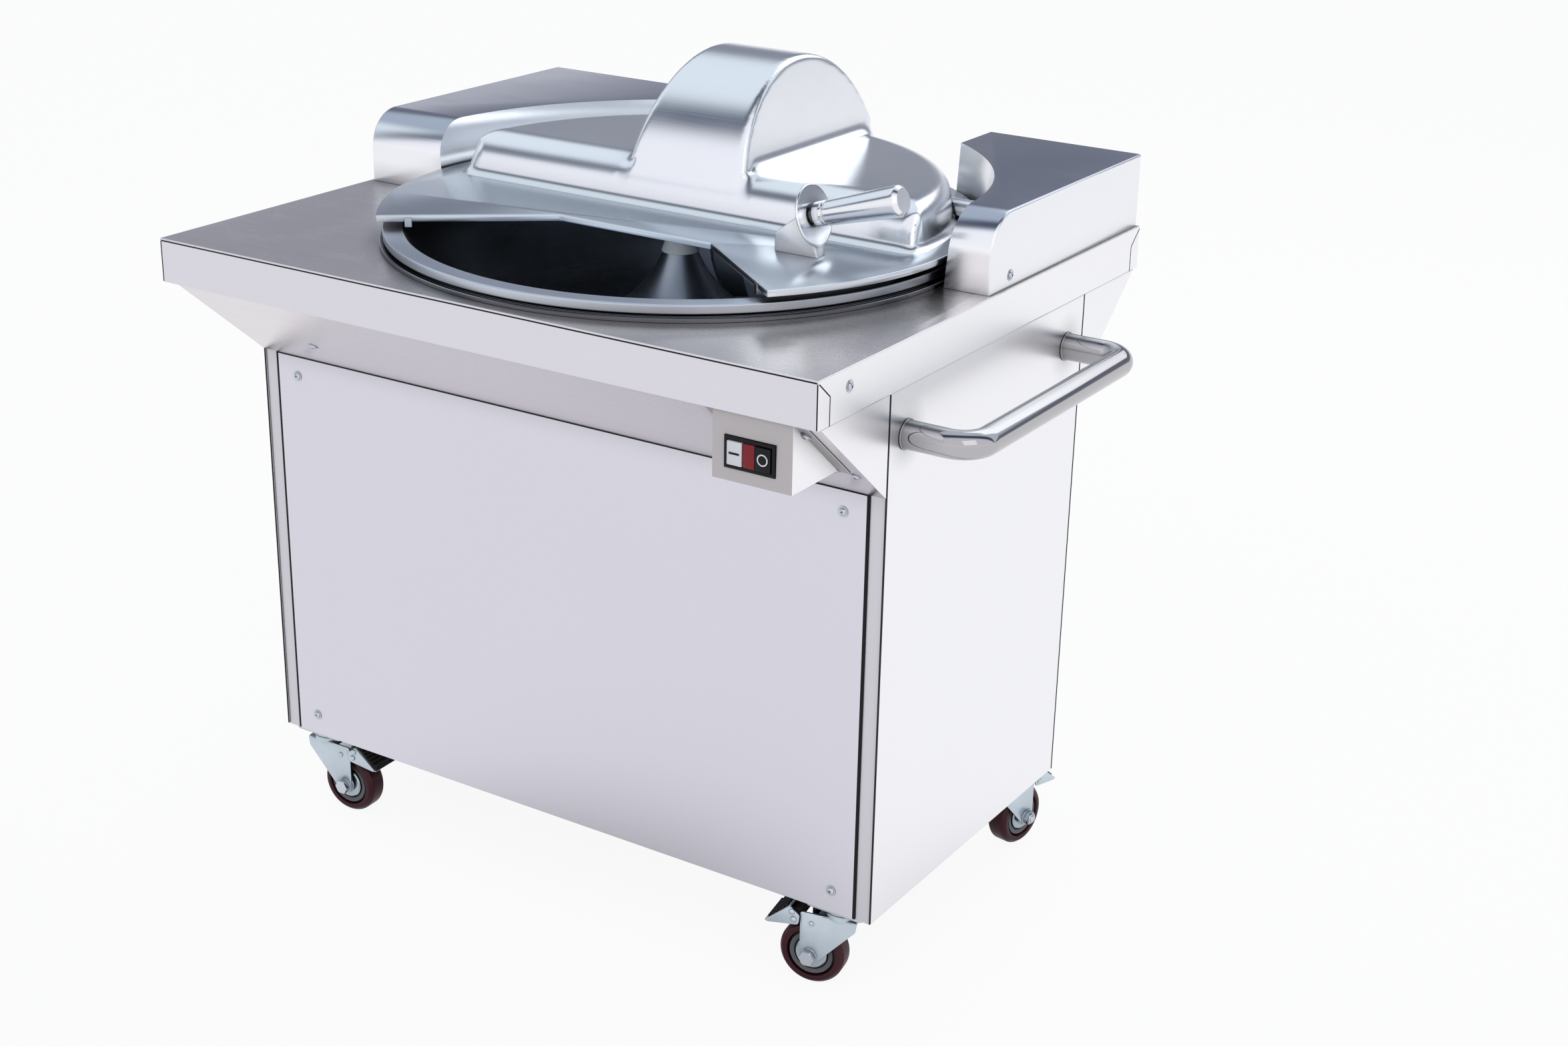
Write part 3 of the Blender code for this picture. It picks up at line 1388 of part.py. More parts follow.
def make_castors():
    """Four swivel castors with brakes, each in its own turned position."""
    x = cabinet_half - swivel_inset_x
    front = cabinet_front + swivel_inset_front
    rear = cabinet_rear - swivel_inset_rear
    places = {"front_left": (-x, front), "front_right": (x, front),
              "rear_right": (x, rear), "rear_left": (-x, rear)}
    fork, wheel, pedal, plate = fork_mesh(), wheel_mesh(), pedal_mesh(), castor_plate_mesh()
    top = castor_height - seat_gap
    for corner, (px, py) in places.items():
        px += cabinet_x
        place_mesh("castor_%s_plate" % corner, plate, "zinc", (px, py, top))
        swivel = pivot("castor_%s_pivot" % corner, (px, py, castor_height), swivel_turns[corner])
        place_mesh("castor_%s_fork" % corner, fork, "zinc", parent=swivel)
        place_mesh("castor_%s_wheel" % corner, wheel, "tyre", (trail, 0, fork_axle_z), parent=swivel)
        place_mesh("castor_%s_brake" % corner, pedal, "zinc",
                   (trail + brake_ahead, 0, fork_axle_z + brake_above), parent=swivel)


def build():
    make_worktop()
    make_frame()
    make_flare("front_flare", False)
    make_flare("rear_flare", True)
    make_panels()
    make_switch(*make_switch_box())
    make_push_handle()
    make_pod("left_pod", -1)
    make_pod("right_pod", 1)
    make_seal_ring()
    make_gearbox(make_bowl())
    make_knife_drive()
    make_motor()
    hinge = make_cover()
    make_cover_handle(hinge)
    make_hinge()
    make_castors()


build()
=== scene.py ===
import json
import math

import bmesh
import bpy
from mathutils import Matrix, Vector


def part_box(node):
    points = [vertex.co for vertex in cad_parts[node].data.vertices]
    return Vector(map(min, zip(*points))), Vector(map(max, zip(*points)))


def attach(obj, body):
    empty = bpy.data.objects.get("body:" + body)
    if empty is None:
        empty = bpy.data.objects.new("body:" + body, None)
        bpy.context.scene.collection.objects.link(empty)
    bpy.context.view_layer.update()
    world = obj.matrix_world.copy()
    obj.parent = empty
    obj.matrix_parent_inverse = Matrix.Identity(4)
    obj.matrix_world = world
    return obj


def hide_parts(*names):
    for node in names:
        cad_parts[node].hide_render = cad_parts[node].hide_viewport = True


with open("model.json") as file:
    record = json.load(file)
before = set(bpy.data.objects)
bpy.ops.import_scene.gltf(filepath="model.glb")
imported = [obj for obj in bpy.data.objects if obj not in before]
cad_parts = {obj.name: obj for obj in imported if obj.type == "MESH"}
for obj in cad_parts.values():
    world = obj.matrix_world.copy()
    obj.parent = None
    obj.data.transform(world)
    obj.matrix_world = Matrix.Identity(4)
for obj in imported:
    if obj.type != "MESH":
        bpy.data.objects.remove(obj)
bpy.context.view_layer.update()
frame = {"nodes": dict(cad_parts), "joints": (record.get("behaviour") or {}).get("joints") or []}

nodes = frame["nodes"]
joints = {joint["name"]: joint for joint in frame["joints"]}
print("frame loaded")


# Places that the CAD model gives
def low(node):
    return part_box(node)[0]


def high(node):
    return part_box(node)[1]


def middle(node):
    return (low(node) + high(node)) / 2


tableTop = high("worktop").z
bowlAxis = Vector((middle("bowl").x, middle("bowl").y, tableTop))
shaftAxis = Vector(joints["knife_spin"]["pos_m"])
hingeAxis = Vector(joints["cover_hinge"]["pos_m"])


# Nodes, and sums on their sockets

class Wire:
    def __init__(self, board, socket):
        self.board = board
        self.socket = socket

    def sum(self, operation, first, second=None):
        return self.board.node("ShaderNodeMath", {"operation": operation}, {0: first, 1: second})

    def __add__(self, other):
        return self.sum("ADD", self, other)

    def __sub__(self, other):
        return self.sum("SUBTRACT", self, other)

    def __rsub__(self, other):
        return self.sum("SUBTRACT", other, self)

    def __mul__(self, other):
        return self.sum("MULTIPLY", self, other)

    def __truediv__(self, other):
        return self.sum("DIVIDE", self, other)

    def __pow__(self, other):
        return self.sum("POWER", self, other)

    __radd__ = __add__
    __rmul__ = __mul__

    def step(self, start, end):
        return self.board.node("ShaderNodeMapRange", {"interpolation_type": "SMOOTHSTEP"},
                               {"Value": self, "From Min": start, "From Max": end})


class Board:
    # a node tree, and the one way that a node gets into it
    def __init__(self, tree):
        self.tree = tree

    def feed(self, slot, value):
        for item in value if isinstance(value, list) else [value]:
            if isinstance(item, Wire):
                self.tree.links.new(item.socket, slot)
            elif item is not None:
                slot.default_value = item

    def node(self, kind, settings=None, values=None, output=0):
        made = self.tree.nodes.new(kind)
        for label, value in (settings or {}).items():
            if label == "stops":
                stops = made.color_ramp.elements
                for k, (place, colour) in enumerate(value):
                    stop = stops[k] if k < 2 else stops.new(place)
                    stop.position = place
                    stop.color = (*colour, 1.0)
            else:
                setattr(made, label, value)
        for label, value in (values or {}).items():
            self.feed(made.inputs[label], value)
        return Wire(self, made.outputs[output]) if output is not None else made

    def mix(self, share, first, second):
        values = [v if isinstance(v, Wire) else (*v, 1.0) for v in (first, second)]
        return self.node("ShaderNodeMix", {"data_type": "RGBA"},
                         {0: share, 6: values[0], 7: values[1]}, 2)


# Scales of the grain, and how dark the painted shade in corners gets
texture = {
    "along": 0.012, "smearAlong": 0.15, "smear": 42.0, "broad": 5.5, "patch": 15.0,
    "patchEdge": (0.02, 0.14), "patchDull": 0.2, "paintedTopShadeRange": (0.56, 0.76), "rings": 700.0,
    "turnedBroad": 7.0, "broadShare": 12, "fineWeight": 0.6, "ridge": 0.0004,
    "brushedPaintedShade": 0.65, "turnedPaintedShade": 0.9, "mottledPaintedShade": 0.7, "paintedShadePower": 1.5,
    "paintedShadeSamples": 6,
}


class Finish(Board):
    def __init__(self, name, colour, roughness, metallic=0.0, **fixed):
        self.material = bpy.data.materials.new(name)
        self.material.use_nodes = True
        super().__init__(self.material.node_tree)
        self.shader = self.tree.nodes["Principled BSDF"]
        self.colour = colour
        self.set("Base Color", (*colour, 1.0))
        self.set("Roughness", roughness)
        self.set("Metallic", metallic)
        for label, value in fixed.items():
            self.set(label.replace("_", " "), value)

    def set(self, label, value):
        self.feed(self.shader.inputs[label], value)

    def place(self, scale=(1, 1, 1), shift=(0, 0, 0)):
        point = self.node("ShaderNodeTexCoord", output="Object")
        return self.node("ShaderNodeMapping", values={"Vector": point, "Location": shift,
                                                      "Scale": scale})

    def noise(self, point, scale, detail=2.0, rough=0.5, flat=False):
        return self.node("ShaderNodeTexNoise", {"noise_dimensions": "2D" if flat else "3D"},
                         {"Vector": point, "Scale": scale, "Detail": detail, "Roughness": rough})

    def shade(self, share, amount):
        dark = tuple(c * (1 - amount) for c in self.colour)
        light = tuple(min(1.0, c * (1 + amount)) for c in self.colour)
        return self.mix(share, dark, light)

    def corners(self, colour, reach, amount):
        # painted shade: the colour is darkened by ambient occlusion where other surfaces come
        # close, standing in for the shade in corners and under parts
        clear = self.node("ShaderNodeAmbientOcclusion", {"samples": texture["paintedShadeSamples"]},
                          {"Distance": reach}, "AO")
        dark = tuple(c * (1 - amount) for c in self.colour)
        return self.mix(clear ** texture["paintedShadePower"], dark, colour)

    def bump(self, height, strength, distance):
        self.set("Normal", self.node("ShaderNodeBump", values={
            "Height": height, "Strength": strength, "Distance": distance}))


def brushed(name, colour, roughness, grain, streak=0.05, wear=0.05, bump=0.05, fine=900.0,
            stains=0.0, reach=0.03, paintedTopShade=None):
    # sheet or casting that was ground along one axis
    finish = Finish(name, colour, roughness, 1.0)
    scales = [tuple(texture[share] if a == grain else 1.0 for a in "XYZ")
              for share in ("along", "smearAlong")]
    lines = finish.noise(finish.place(scales[0]), fine, 3.0, 0.65)
    smear = finish.noise(finish.place(scales[1]), texture["smear"])
    broad = finish.noise(finish.place(), texture["broad"], 3.0)
    patch = (finish.noise(finish.place(), texture["patch"], 4.0, 0.6)
             - 0.5).step(*texture["patchEdge"])
    weight = texture["fineWeight"]
    tone = finish.shade(lines * weight + broad * (1 - weight) - patch * stains, streak)
    if paintedTopShade:
        # painted shade: the faces that look up are painted darker, standing in for the darker
        # reflection they get
        up = finish.node("ShaderNodeSeparateXYZ", values={
            0: finish.node("ShaderNodeTexCoord", output="Normal")}, output="Z")
        tone = finish.mix(up.step(*texture["paintedTopShadeRange"]), tone, paintedTopShade)
    # painted shade in corners and under parts is mixed into the colour here
    finish.set("Base Color", finish.corners(tone, reach, texture["brushedPaintedShade"]))
    finish.set("Roughness", roughness + (lines - 0.5) * wear * 2 + (broad - 0.5) * wear * 2
               + (smear - 0.5) * wear + patch * stains * texture["patchDull"])
    finish.bump(lines, bump, texture["ridge"])
    return finish


def turnedMetal(name, colour, roughness, centre, streak=0.05, wear=0.05, bump=0.05, reach=0.06):
    # lathe rings around an upright axis
    finish = Finish(name, colour, roughness, 1.0)
    parts = [finish.node("ShaderNodeSeparateXYZ", values={
        0: finish.place(shift=tuple(-c for c in centre))}, output=label) for label in "XYZ"]
    radius = (parts[0] * parts[0] + parts[1] * parts[1]) ** 0.5
    rings = finish.noise(finish.node("ShaderNodeCombineXYZ", values={"X": radius, "Y": parts[2]}),
                         texture["rings"], 3.0, flat=True)
    broad = finish.noise(finish.place(), texture["turnedBroad"], 3.0)
    weight = texture["fineWeight"]
    tone = finish.shade(rings * weight + broad * (1 - weight), streak)
    # painted shade in corners and hollows is mixed into the colour here
    finish.set("Base Color", finish.corners(tone, reach, texture["turnedPaintedShade"]))
    finish.set("Roughness", roughness + (rings - 0.5) * wear * 2 + (broad - 0.5) * wear * 2)
    finish.bump(rings, bump, texture["ridge"])
    return finish


def mottled(name, colour, roughness, metallic, grain, amount=0.08, wear=0.06, bump=0.1,
            depth=0.0005, reach=0.02, **fixed):
    # plating, paint, rubber and moulded plastic
    finish = Finish(name, colour, roughness, metallic, **fixed)
    spots = finish.noise(finish.place(), grain, 4.0, 0.6)
    broad = finish.noise(finish.place(), grain / texture["broadShare"])
    tone = finish.shade(spots * 0.5 + broad * 0.5, amount)
    # painted shade in corners and under parts is mixed into the colour here
    finish.set("Base Color", finish.corners(tone, reach, texture["mottledPaintedShade"]))
    finish.set("Roughness", roughness + (spots - 0.5) * wear * 2 + (broad - 0.5) * wear * 2)
    finish.bump(spots, bump, depth)
    return finish


finishes = {
    # the cabinet's steel comes in several tones of one sheet, lightest on the sides: painted light
    # and shade by the side a face looks to
    "tableSteel": brushed("table_steel", (0.93, 0.87, 0.85), 0.27, "X", 0.04, 0.03, 0.02,
                          stains=0.10),
    "apronSteel": brushed("apron_steel", (0.76, 0.74, 0.79), 0.32, "X", 0.04, 0.04, 0.04),
    "flareSteel": brushed("flare_steel", (0.80, 0.76, 0.78), 0.28, "X", 0.05, 0.05, 0.04),
    "panelSteel": brushed("panel_steel", (0.74, 0.73, 0.79), 0.30, "Z", 0.02, 0.02, 0.02),
    "sideSteelPaintedLight": brushed("side_steel_painted_light", (0.97, 0.97, 0.98), 0.30, "Z", 0.02, 0.02, 0.02),
    # painted shade: the pods' upward faces get the darker tone given here
    "podSteel": brushed("pod_steel", (0.93, 0.94, 0.97), 0.20, "X", 0.05, 0.04, 0.03,
                        paintedTopShade=(0.46, 0.49, 0.57)),
    "boxSteel": brushed("box_steel", (0.50, 0.475, 0.48), 0.30, "X", 0.05, 0.05, 0.04),
    "frameSteel": brushed("frame_steel", (0.68, 0.66, 0.70), 0.34, "Z", 0.03, 0.04, 0.03),
    "castCover": brushed("cast_cover", (0.92, 0.94, 0.97), 0.21, "X", 0.05, 0.04, 0.04, 500.0),
    "castPlate": brushed("cast_plate", (0.64, 0.68, 0.73), 0.24, "X", 0.04, 0.02, 0.02, 500.0),
    "castHandle": brushed("cast_handle", (0.86, 0.88, 0.91), 0.26, "X", 0.05, 0.04, 0.03),
    "castBowl": turnedMetal("cast_bowl", (0.70, 0.75, 0.82), 0.30, bowlAxis, 0.06, 0.04, 0.03,
                            0.10),
    # painted shade: the ring's steel is made dark, standing in for the shadow under the bowl's rim
    # and the dark it reflects
    "ringSteelPaintedShade": turnedMetal("ring_steel_painted_shade", (0.30, 0.31, 0.34), 0.24, bowlAxis, 0.05, 0.05, 0.02),
    "chrome": mottled("chrome_polish", (0.50, 0.49, 0.50), 0.07, 1.0, 60.0, 0.02, 0.02, 0.0,
                      reach=0.06),
    "gripSteel": brushed("grip_steel", (0.90, 0.91, 0.93), 0.16, "Y", 0.05, 0.05, 0.03,
                         reach=0.012),
    "zinc": mottled("zinc_plate", (0.60, 0.68, 0.74), 0.24, 1.0, 40.0, 0.26, 0.10, 0.03,
                    reach=0.03),
    "steel": mottled("machined_steel", (0.46, 0.46, 0.48), 0.34, 1.0, 160.0, 0.08, 0.06, 0.04),
    "bolt": mottled("screw_steel", (0.62, 0.66, 0.72), 0.12, 1.0, 300.0, 0.10, 0.06, 0.03,
                    reach=0.010),
    "bladeSteel": brushed("blade_steel", (0.72, 0.73, 0.75), 0.18, "Z", 0.04, 0.04, 0.02),
    "bronze": mottled("gear_bronze", (0.62, 0.42, 0.18), 0.32, 1.0, 120.0, 0.08, 0.06, 0.04),
    "paintedIron": mottled("painted_iron", (0.16, 0.23, 0.30), 0.50, 0.0, 240.0, 0.10, 0.08, 0.15),
    "beltRubber": mottled("belt_rubber", (0.025, 0.025, 0.026), 0.70, 0.0, 200.0, 0.15, 0.08,
                          0.15),
    "padRubber": mottled("pad_rubber", (0.018, 0.014, 0.014), 0.55, 0.0, 300.0, 0.15, 0.08, 0.15,
                         Specular_IOR_Level=0.3),
    "tyre": mottled("wheel_tyre", (0.045, 0.003, 0.009), 0.32, 0.0, 150.0, 0.12, 0.06, 0.04,
                    Specular_IOR_Level=0.3),
    "rimGrey": mottled("wheel_rim", (0.11, 0.115, 0.12), 0.40, 0.0, 200.0, 0.10, 0.06, 0.06),
    "black": mottled("black_plastic", (0.010, 0.010, 0.011), 0.30, 0.0, 350.0, 0.10, 0.05, 0.05,
                     Specular_IOR_Level=0.18),
    "red": mottled("red_plastic", (0.22, 0.006, 0.012), 0.30, 0.0, 350.0, 0.08, 0.05, 0.04,
                   Specular_IOR_Level=0.35),
    "white": mottled("white_plastic", (0.74, 0.74, 0.75), 0.35, 0.0, 350.0, 0.03, 0.05, 0.04),
    "nylon": mottled("nylon_cap", (0.82, 0.86, 0.83), 0.40, 0.0, 120.0, 0.04, 0.05, 0.05,
                     reach=0.002, Subsurface_Weight=0.05),
    # painted shade: near-black finish for the strips that stand in for the shadow inside seams
    "dark": mottled("painted_gap_shadow", (0.008, 0.008, 0.009), 0.60, 0.0, 200.0, 0.10, 0.05, 0.0,
                    Specular_IOR_Level=0.2),
}
print("finishes ready")


# Mesh tools

def keep(name, mesh, body, finish, *replaced, slot=None):
    piece = bpy.data.objects.new(name, mesh)
    bpy.context.scene.collection.objects.link(piece)
    if not mesh.materials:
        mesh.materials.append(finishes[finish].material)
    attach(piece, body)
    if replaced:
        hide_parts(*replaced)
    return piece


def faceOut(shape, where=None):
    # places a closed shape and turns its faces outwards
    if where:
        shape.transform(where)
    shape.normal_update()
    bmesh.ops.recalc_face_normals(shape, faces=shape.faces)
    return shape


def toMesh(shape, name, sharp=35.0):
    faceOut(shape)
    mesh = bpy.data.meshes.new(name)
    shape.to_mesh(mesh)
    shape.free()
    mesh.shade_smooth()
    mesh.set_sharp_from_angle(angle=math.radians(sharp))
    return mesh


def arc(centre, radius, start, end, steps=12):
    return [(centre[0] + radius * math.cos(start + (end - start) * i / steps),
             centre[1] + radius * math.sin(start + (end - start) * i / steps))
            for i in range(steps + 1)]


def rounded(points, radius, steps=4, closed=True):
    # a fillet on each corner of an outline
    result = []
    count = len(points)
    for i, here in enumerate(points):
        size = radius[i] if isinstance(radius, (list, tuple)) else radius
        if size <= 0 or (not closed and i in (0, count - 1)):
            result.append(tuple(here))
            continue
        here = Vector(here)
        first = Vector(points[i - 1]) - here
        second = Vector(points[(i + 1) % count]) - here
        half = first.angle(second) / 2
        reach = min(size / math.tan(half), first.length * 0.49, second.length * 0.49)
        start, end = here + first.normalized() * reach, here + second.normalized() * reach
        for k in range(steps + 1):
            share = k / steps
            result.append(tuple((1 - share) ** 2 * start + 2 * share * (1 - share) * here
                                + share ** 2 * end))
    return result


def revolve(profile, steps, closed=False, where=None):
    shape = bmesh.new()
    rings = []
    for radius, height in profile:
        if radius < 1e-7:
            rings.append([shape.verts.new((0, 0, height))] * steps)
        else:
            rings.append([shape.verts.new((radius * math.cos(2 * math.pi * i / steps),
                                           radius * math.sin(2 * math.pi * i / steps), height))
                          for i in range(steps)])
    pairs = list(zip(rings, rings[1:]))
    if closed:
        pairs.append((rings[-1], rings[0]))
    for first, second in pairs:
        for i in range(steps):
            k = (i + 1) % steps
            corners = []
            for vertex in (first[i], first[k], second[k], second[i]):
                if vertex not in corners:
                    corners.append(vertex)
            if len(corners) > 2:
                shape.faces.new(corners)
    return faceOut(shape, where)


def slab(points, thickness, where=None):
    # an outline in XY made solid, centred on Z
    shape = bmesh.new()
    verts = [shape.verts.new((x, y, -thickness / 2)) for x, y in points]
    face = shape.faces.new(verts)
    lifted = bmesh.ops.extrude_face_region(shape, geom=[face])["geom"]
    moved = [item for item in lifted if isinstance(item, bmesh.types.BMVert)]
    bmesh.ops.translate(shape, verts=moved, vec=(0, 0, thickness))
    return faceOut(shape, where)


def block(lowest, highest):
    shape = bmesh.new()
    bmesh.ops.create_cube(shape, size=1.0)
    size = Vector(highest) - Vector(lowest)
    bmesh.ops.scale(shape, verts=shape.verts, vec=size)
    return faceOut(shape, at(*(Vector(lowest) + size / 2)))


def pipe(points, radius, steps=32):
    # a round tube along a path, closed at both ends
    shape = bmesh.new()
    path = [Vector(p) for p in points]
    side = None
    rings = []
    for i, here in enumerate(path):
        ahead = (path[min(i + 1, len(path) - 1)] - path[max(i - 1, 0)]).normalized()
        if side is None:
            side = ahead.orthogonal().normalized()
        side = (side - ahead * side.dot(ahead)).normalized()
        other = ahead.cross(side)
        turns = [2 * math.pi * k / steps for k in range(steps)]
        rings.append([shape.verts.new(here + radius * (side * math.cos(a) + other * math.sin(a)))
                      for a in turns])
    for first, second in zip(rings, rings[1:]):
        for k in range(steps):
            shape.faces.new((first[k], first[(k + 1) % steps], second[(k + 1) % steps], second[k]))
    shape.faces.new(rings[0])
    shape.faces.new(rings[-1])
    return faceOut(shape)


def soften(shape, width, segments=2, angle=30.0, pick=None):
    edges = [e for e in shape.edges if len(e.link_faces) == 2
             and e.calc_face_angle(0.0) > math.radians(angle) and (pick is None or pick(e))]
    bmesh.ops.bevel(shape, geom=edges, offset=width, segments=segments, profile=0.5,
                    affect="EDGES", clamp_overlap=True)
    return shape


def cadCopy(node):
    shape = bmesh.new()
    shape.from_mesh(nodes[node].data)
    bmesh.ops.remove_doubles(shape, verts=shape.verts, dist=1e-5)
    bmesh.ops.dissolve_limit(shape, angle_limit=math.radians(0.5), verts=shape.verts,
                             edges=shape.edges)
    return shape


def merged(*shapes):
    result = bmesh.new()
    for shape in shapes:
        loose = bpy.data.meshes.new("loose")
        shape.to_mesh(loose)
        shape.free()
        result.from_mesh(loose)
        bpy.data.meshes.remove(loose)
    return result


def plainObject(name, shape):
    mesh = bpy.data.meshes.new(name)
    faceOut(shape)
    shape.to_mesh(mesh)
    shape.free()
    item = bpy.data.objects.new(name, mesh)
    bpy.context.scene.collection.objects.link(item)
    return item


def evaluated(item):
    # the finished mesh of an object with modifiers, which is then dropped
    bpy.context.view_layer.update()
    graph = bpy.context.evaluated_depsgraph_get()
    mesh = bpy.data.meshes.new_from_object(item.evaluated_get(graph))
    bpy.data.objects.remove(item)
    return mesh


def carve(base, others, operation="DIFFERENCE"):
    item = plainObject("carved", base)
    tools = [plainObject("tool", other) for other in others]
    for tool in tools:
        cut = item.modifiers.new("cut", "BOOLEAN")
        cut.operation = operation
        cut.solver = "EXACT"
        cut.object = tool
    mesh = evaluated(item)
    for tool in tools:
        bpy.data.objects.remove(tool)
    shape = bmesh.new()
    shape.from_mesh(mesh)
    bpy.data.meshes.remove(mesh)
    return shape


def at(x, y, z):
    return Matrix.Translation((x, y, z))


facingX = Matrix(((0, 0, 1, 0), (1, 0, 0, 0), (0, 1, 0, 0), (0, 0, 0, 1)))
facingY = Matrix.Rotation(math.radians(90), 4, "X")
lyingX = Matrix.Rotation(math.radians(90), 4, "Y")
bowlFrame = at(*bowlAxis)


# Sheet metal: folded edges get a small radius
sheetPieces = {
    "worktop": ("tableSteel", 0.0016),
    "front_flare": ("flareSteel", 0.0006),
    "rear_flare": ("flareSteel", 0.0006),
    "front_panel": ("panelSteel", 0.0007),
    "rear_panel": ("panelSteel", 0.0005),
    "left_panel": ("sideSteelPaintedLight", 0.0007),
    "right_panel": ("sideSteelPaintedLight", 0.0007),
    "switch_box": ("boxSteel", 0.0006),
}


def makeSheetPieces():
    for node, (finish, radius) in sheetPieces.items():
        # a low limit keeps the shading of the wide faces flat
        mesh = toMesh(soften(cadCopy(node), radius), node, 20.0)
        for label in (finish, "apronSteel", "sideSteelPaintedLight"):
            mesh.materials.append(finishes[label].material)
        for face in mesh.polygons:
            # the sheet is ground on its top, its long sides and its ends in turn, and each of
            # these faces also gets its own tone of the same steel, the ends the lightest: painted
            # light and shade by the side a face looks to
            if abs(face.normal.x) > 0.7:
                face.material_index = 2
            elif node == "worktop" and abs(face.normal.y) > 0.7:
                face.material_index = 1
        keep(node + "_folded", mesh, "cabinet", finish, node)


makeSheetPieces()


# Painted shade: dark strips set into the seams of the cabinet, standing in for the shadow inside
# the gaps
seams = {
    "deep": 0.0003, "back": 0.0016, "proud": 0.00012, "inside": 0.001, "line": 0.0014,
    "gap": 0.0030, "corner": 0.0026, "fold": (0.0018, 0.0034), "foldInside": 0.0004,
    "foldEnd": 0.002, "joint": (0.0006, 0.0020), "jointWidth": 0.0014, "tab": 0.022,
    "tabStart": 0.0008, "tabDrop": 0.0215, "tabWidth": 0.0014, "tabSheet": 0.0006,
}


def makeSeams():
    s = seams
    front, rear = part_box("front_panel"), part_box("rear_panel")
    left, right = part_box("left_panel"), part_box("right_panel")
    base, corner = front[0].z + s["inside"], right[1].y
    strips = []
    for y, way, panel in ((front[0].y, 1, front), (rear[1].y, -1, rear)):
        near, far = sorted((y + way * s["deep"], y + way * s["back"]))
        for x in (panel[0].x - s["gap"], panel[1].x):
            strips.append(block((x, near, base), (x + s["gap"], far, panel[1].z)))
        near, far = sorted((y - way * s["proud"], y + way * s["inside"]))
        strips.append(block((panel[0].x, near, panel[1].z - s["line"]),
                            (panel[1].x, far, panel[1].z + s["line"])))
    for x, way in ((left[0].x, -1), (right[1].x, 1)):
        near, far = sorted((x + way * s["proud"], x - way * s["inside"]))
        for y in (-corner - s["corner"] / 2, corner - s["corner"] / 2):
            strips.append(block((near, y, base),
                                (far, y + s["corner"], right[1].z - s["inside"])))
    keep("cabinet_seams", toMesh(merged(*strips), "seams", 60.0), "cabinet", "dark",
         slot="rubber")


def makeTraySeams():
    # the apron is a strip of its own, and folds round the corners as a tab; dark strips along
    # these joints are painted shade in the gaps
    s = seams
    lowest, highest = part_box("worktop")
    strips = []
    for y, way in ((lowest.y, -1), (highest.y, 1)):
        near, far = sorted((y + way * s["proud"], y - way * s["foldInside"]))
        strips.append(block((lowest.x + s["foldEnd"], near, tableTop - s["fold"][1]),
                            (highest.x - s["foldEnd"], far, tableTop - s["fold"][0])))
        for x in (lowest.x + s["joint"][0], highest.x - s["joint"][1]):
            strips.append(block((x, near, lowest.z + s["inside"]),
                                (x + s["jointWidth"], far, tableTop - s["fold"][1])))
        for x, side in ((lowest.x, -1), (highest.x, 1)):
            path = [(y - way * s["tabStart"], tableTop - s["fold"][1]),
                    (y - way * s["tab"], tableTop - s["tabDrop"]), (y - way * s["tab"], lowest.z)]
            for start, end in zip(path, path[1:]):
                run = Vector((end[0] - start[0], end[1] - start[1]))
                aside = Vector((-run.y, run.x)).normalized() * s["tabWidth"] / 2
                corners = [Vector(start) + aside, Vector(start) - aside, Vector(end) - aside,
                           Vector(end) + aside]
                strips.append(slab([tuple(c) for c in corners], s["tabSheet"], at(
                    x + side * (s["proud"] - s["tabSheet"] / 2), 0, 0) @ facingX))
    keep("tray_seams", toMesh(merged(*strips), "tray_seams", 60.0), "cabinet", "dark",
         slot="rubber")


makeTraySeams()
makeSeams()
print("sheet metal ready")


# Bowl
bowl = {
    "rimRadius": 0.348, "mouthRadius": 0.325, "rimHeight": 0.0186, "band": 0.011,
    "wall": 0.006, "troughRadius": 0.1525, "troughCentre": 0.162, "troughHeight": 0.041,
    "coneDrop": 0.050, "flareDrop": 0.071, "skirtRadius": 0.331, "skirtLow": 0.0015,
    "hubRadius": 0.055, "hubDrop": 0.022, "rimRound": 0.0022, "steps": 160,
    "cap": [(0.0152, 0.0055), (0.0172, -0.0015), (0.0198, -0.0085), (0.0226, -0.0165)],
    "capRound": [0, 0.0035, 0.003, 0.002, 0.001, 0], "capGap": 0.0002, "wallTop": 0.93,
}
bead = {"inner": 0.3395, "groove": 0.0011, "edge": 0.001, "narrow": 0.4, "steps": 160}


def troughArc(radius, startHeight, endHeight, steps):
    centre = (bowl["troughCentre"], bowl["troughHeight"])
    start = math.pi - math.asin((startHeight - centre[1]) / radius)
    end = 2 * math.pi + math.asin((endHeight - centre[1]) / radius)
    return arc(centre, radius, start, end, steps)


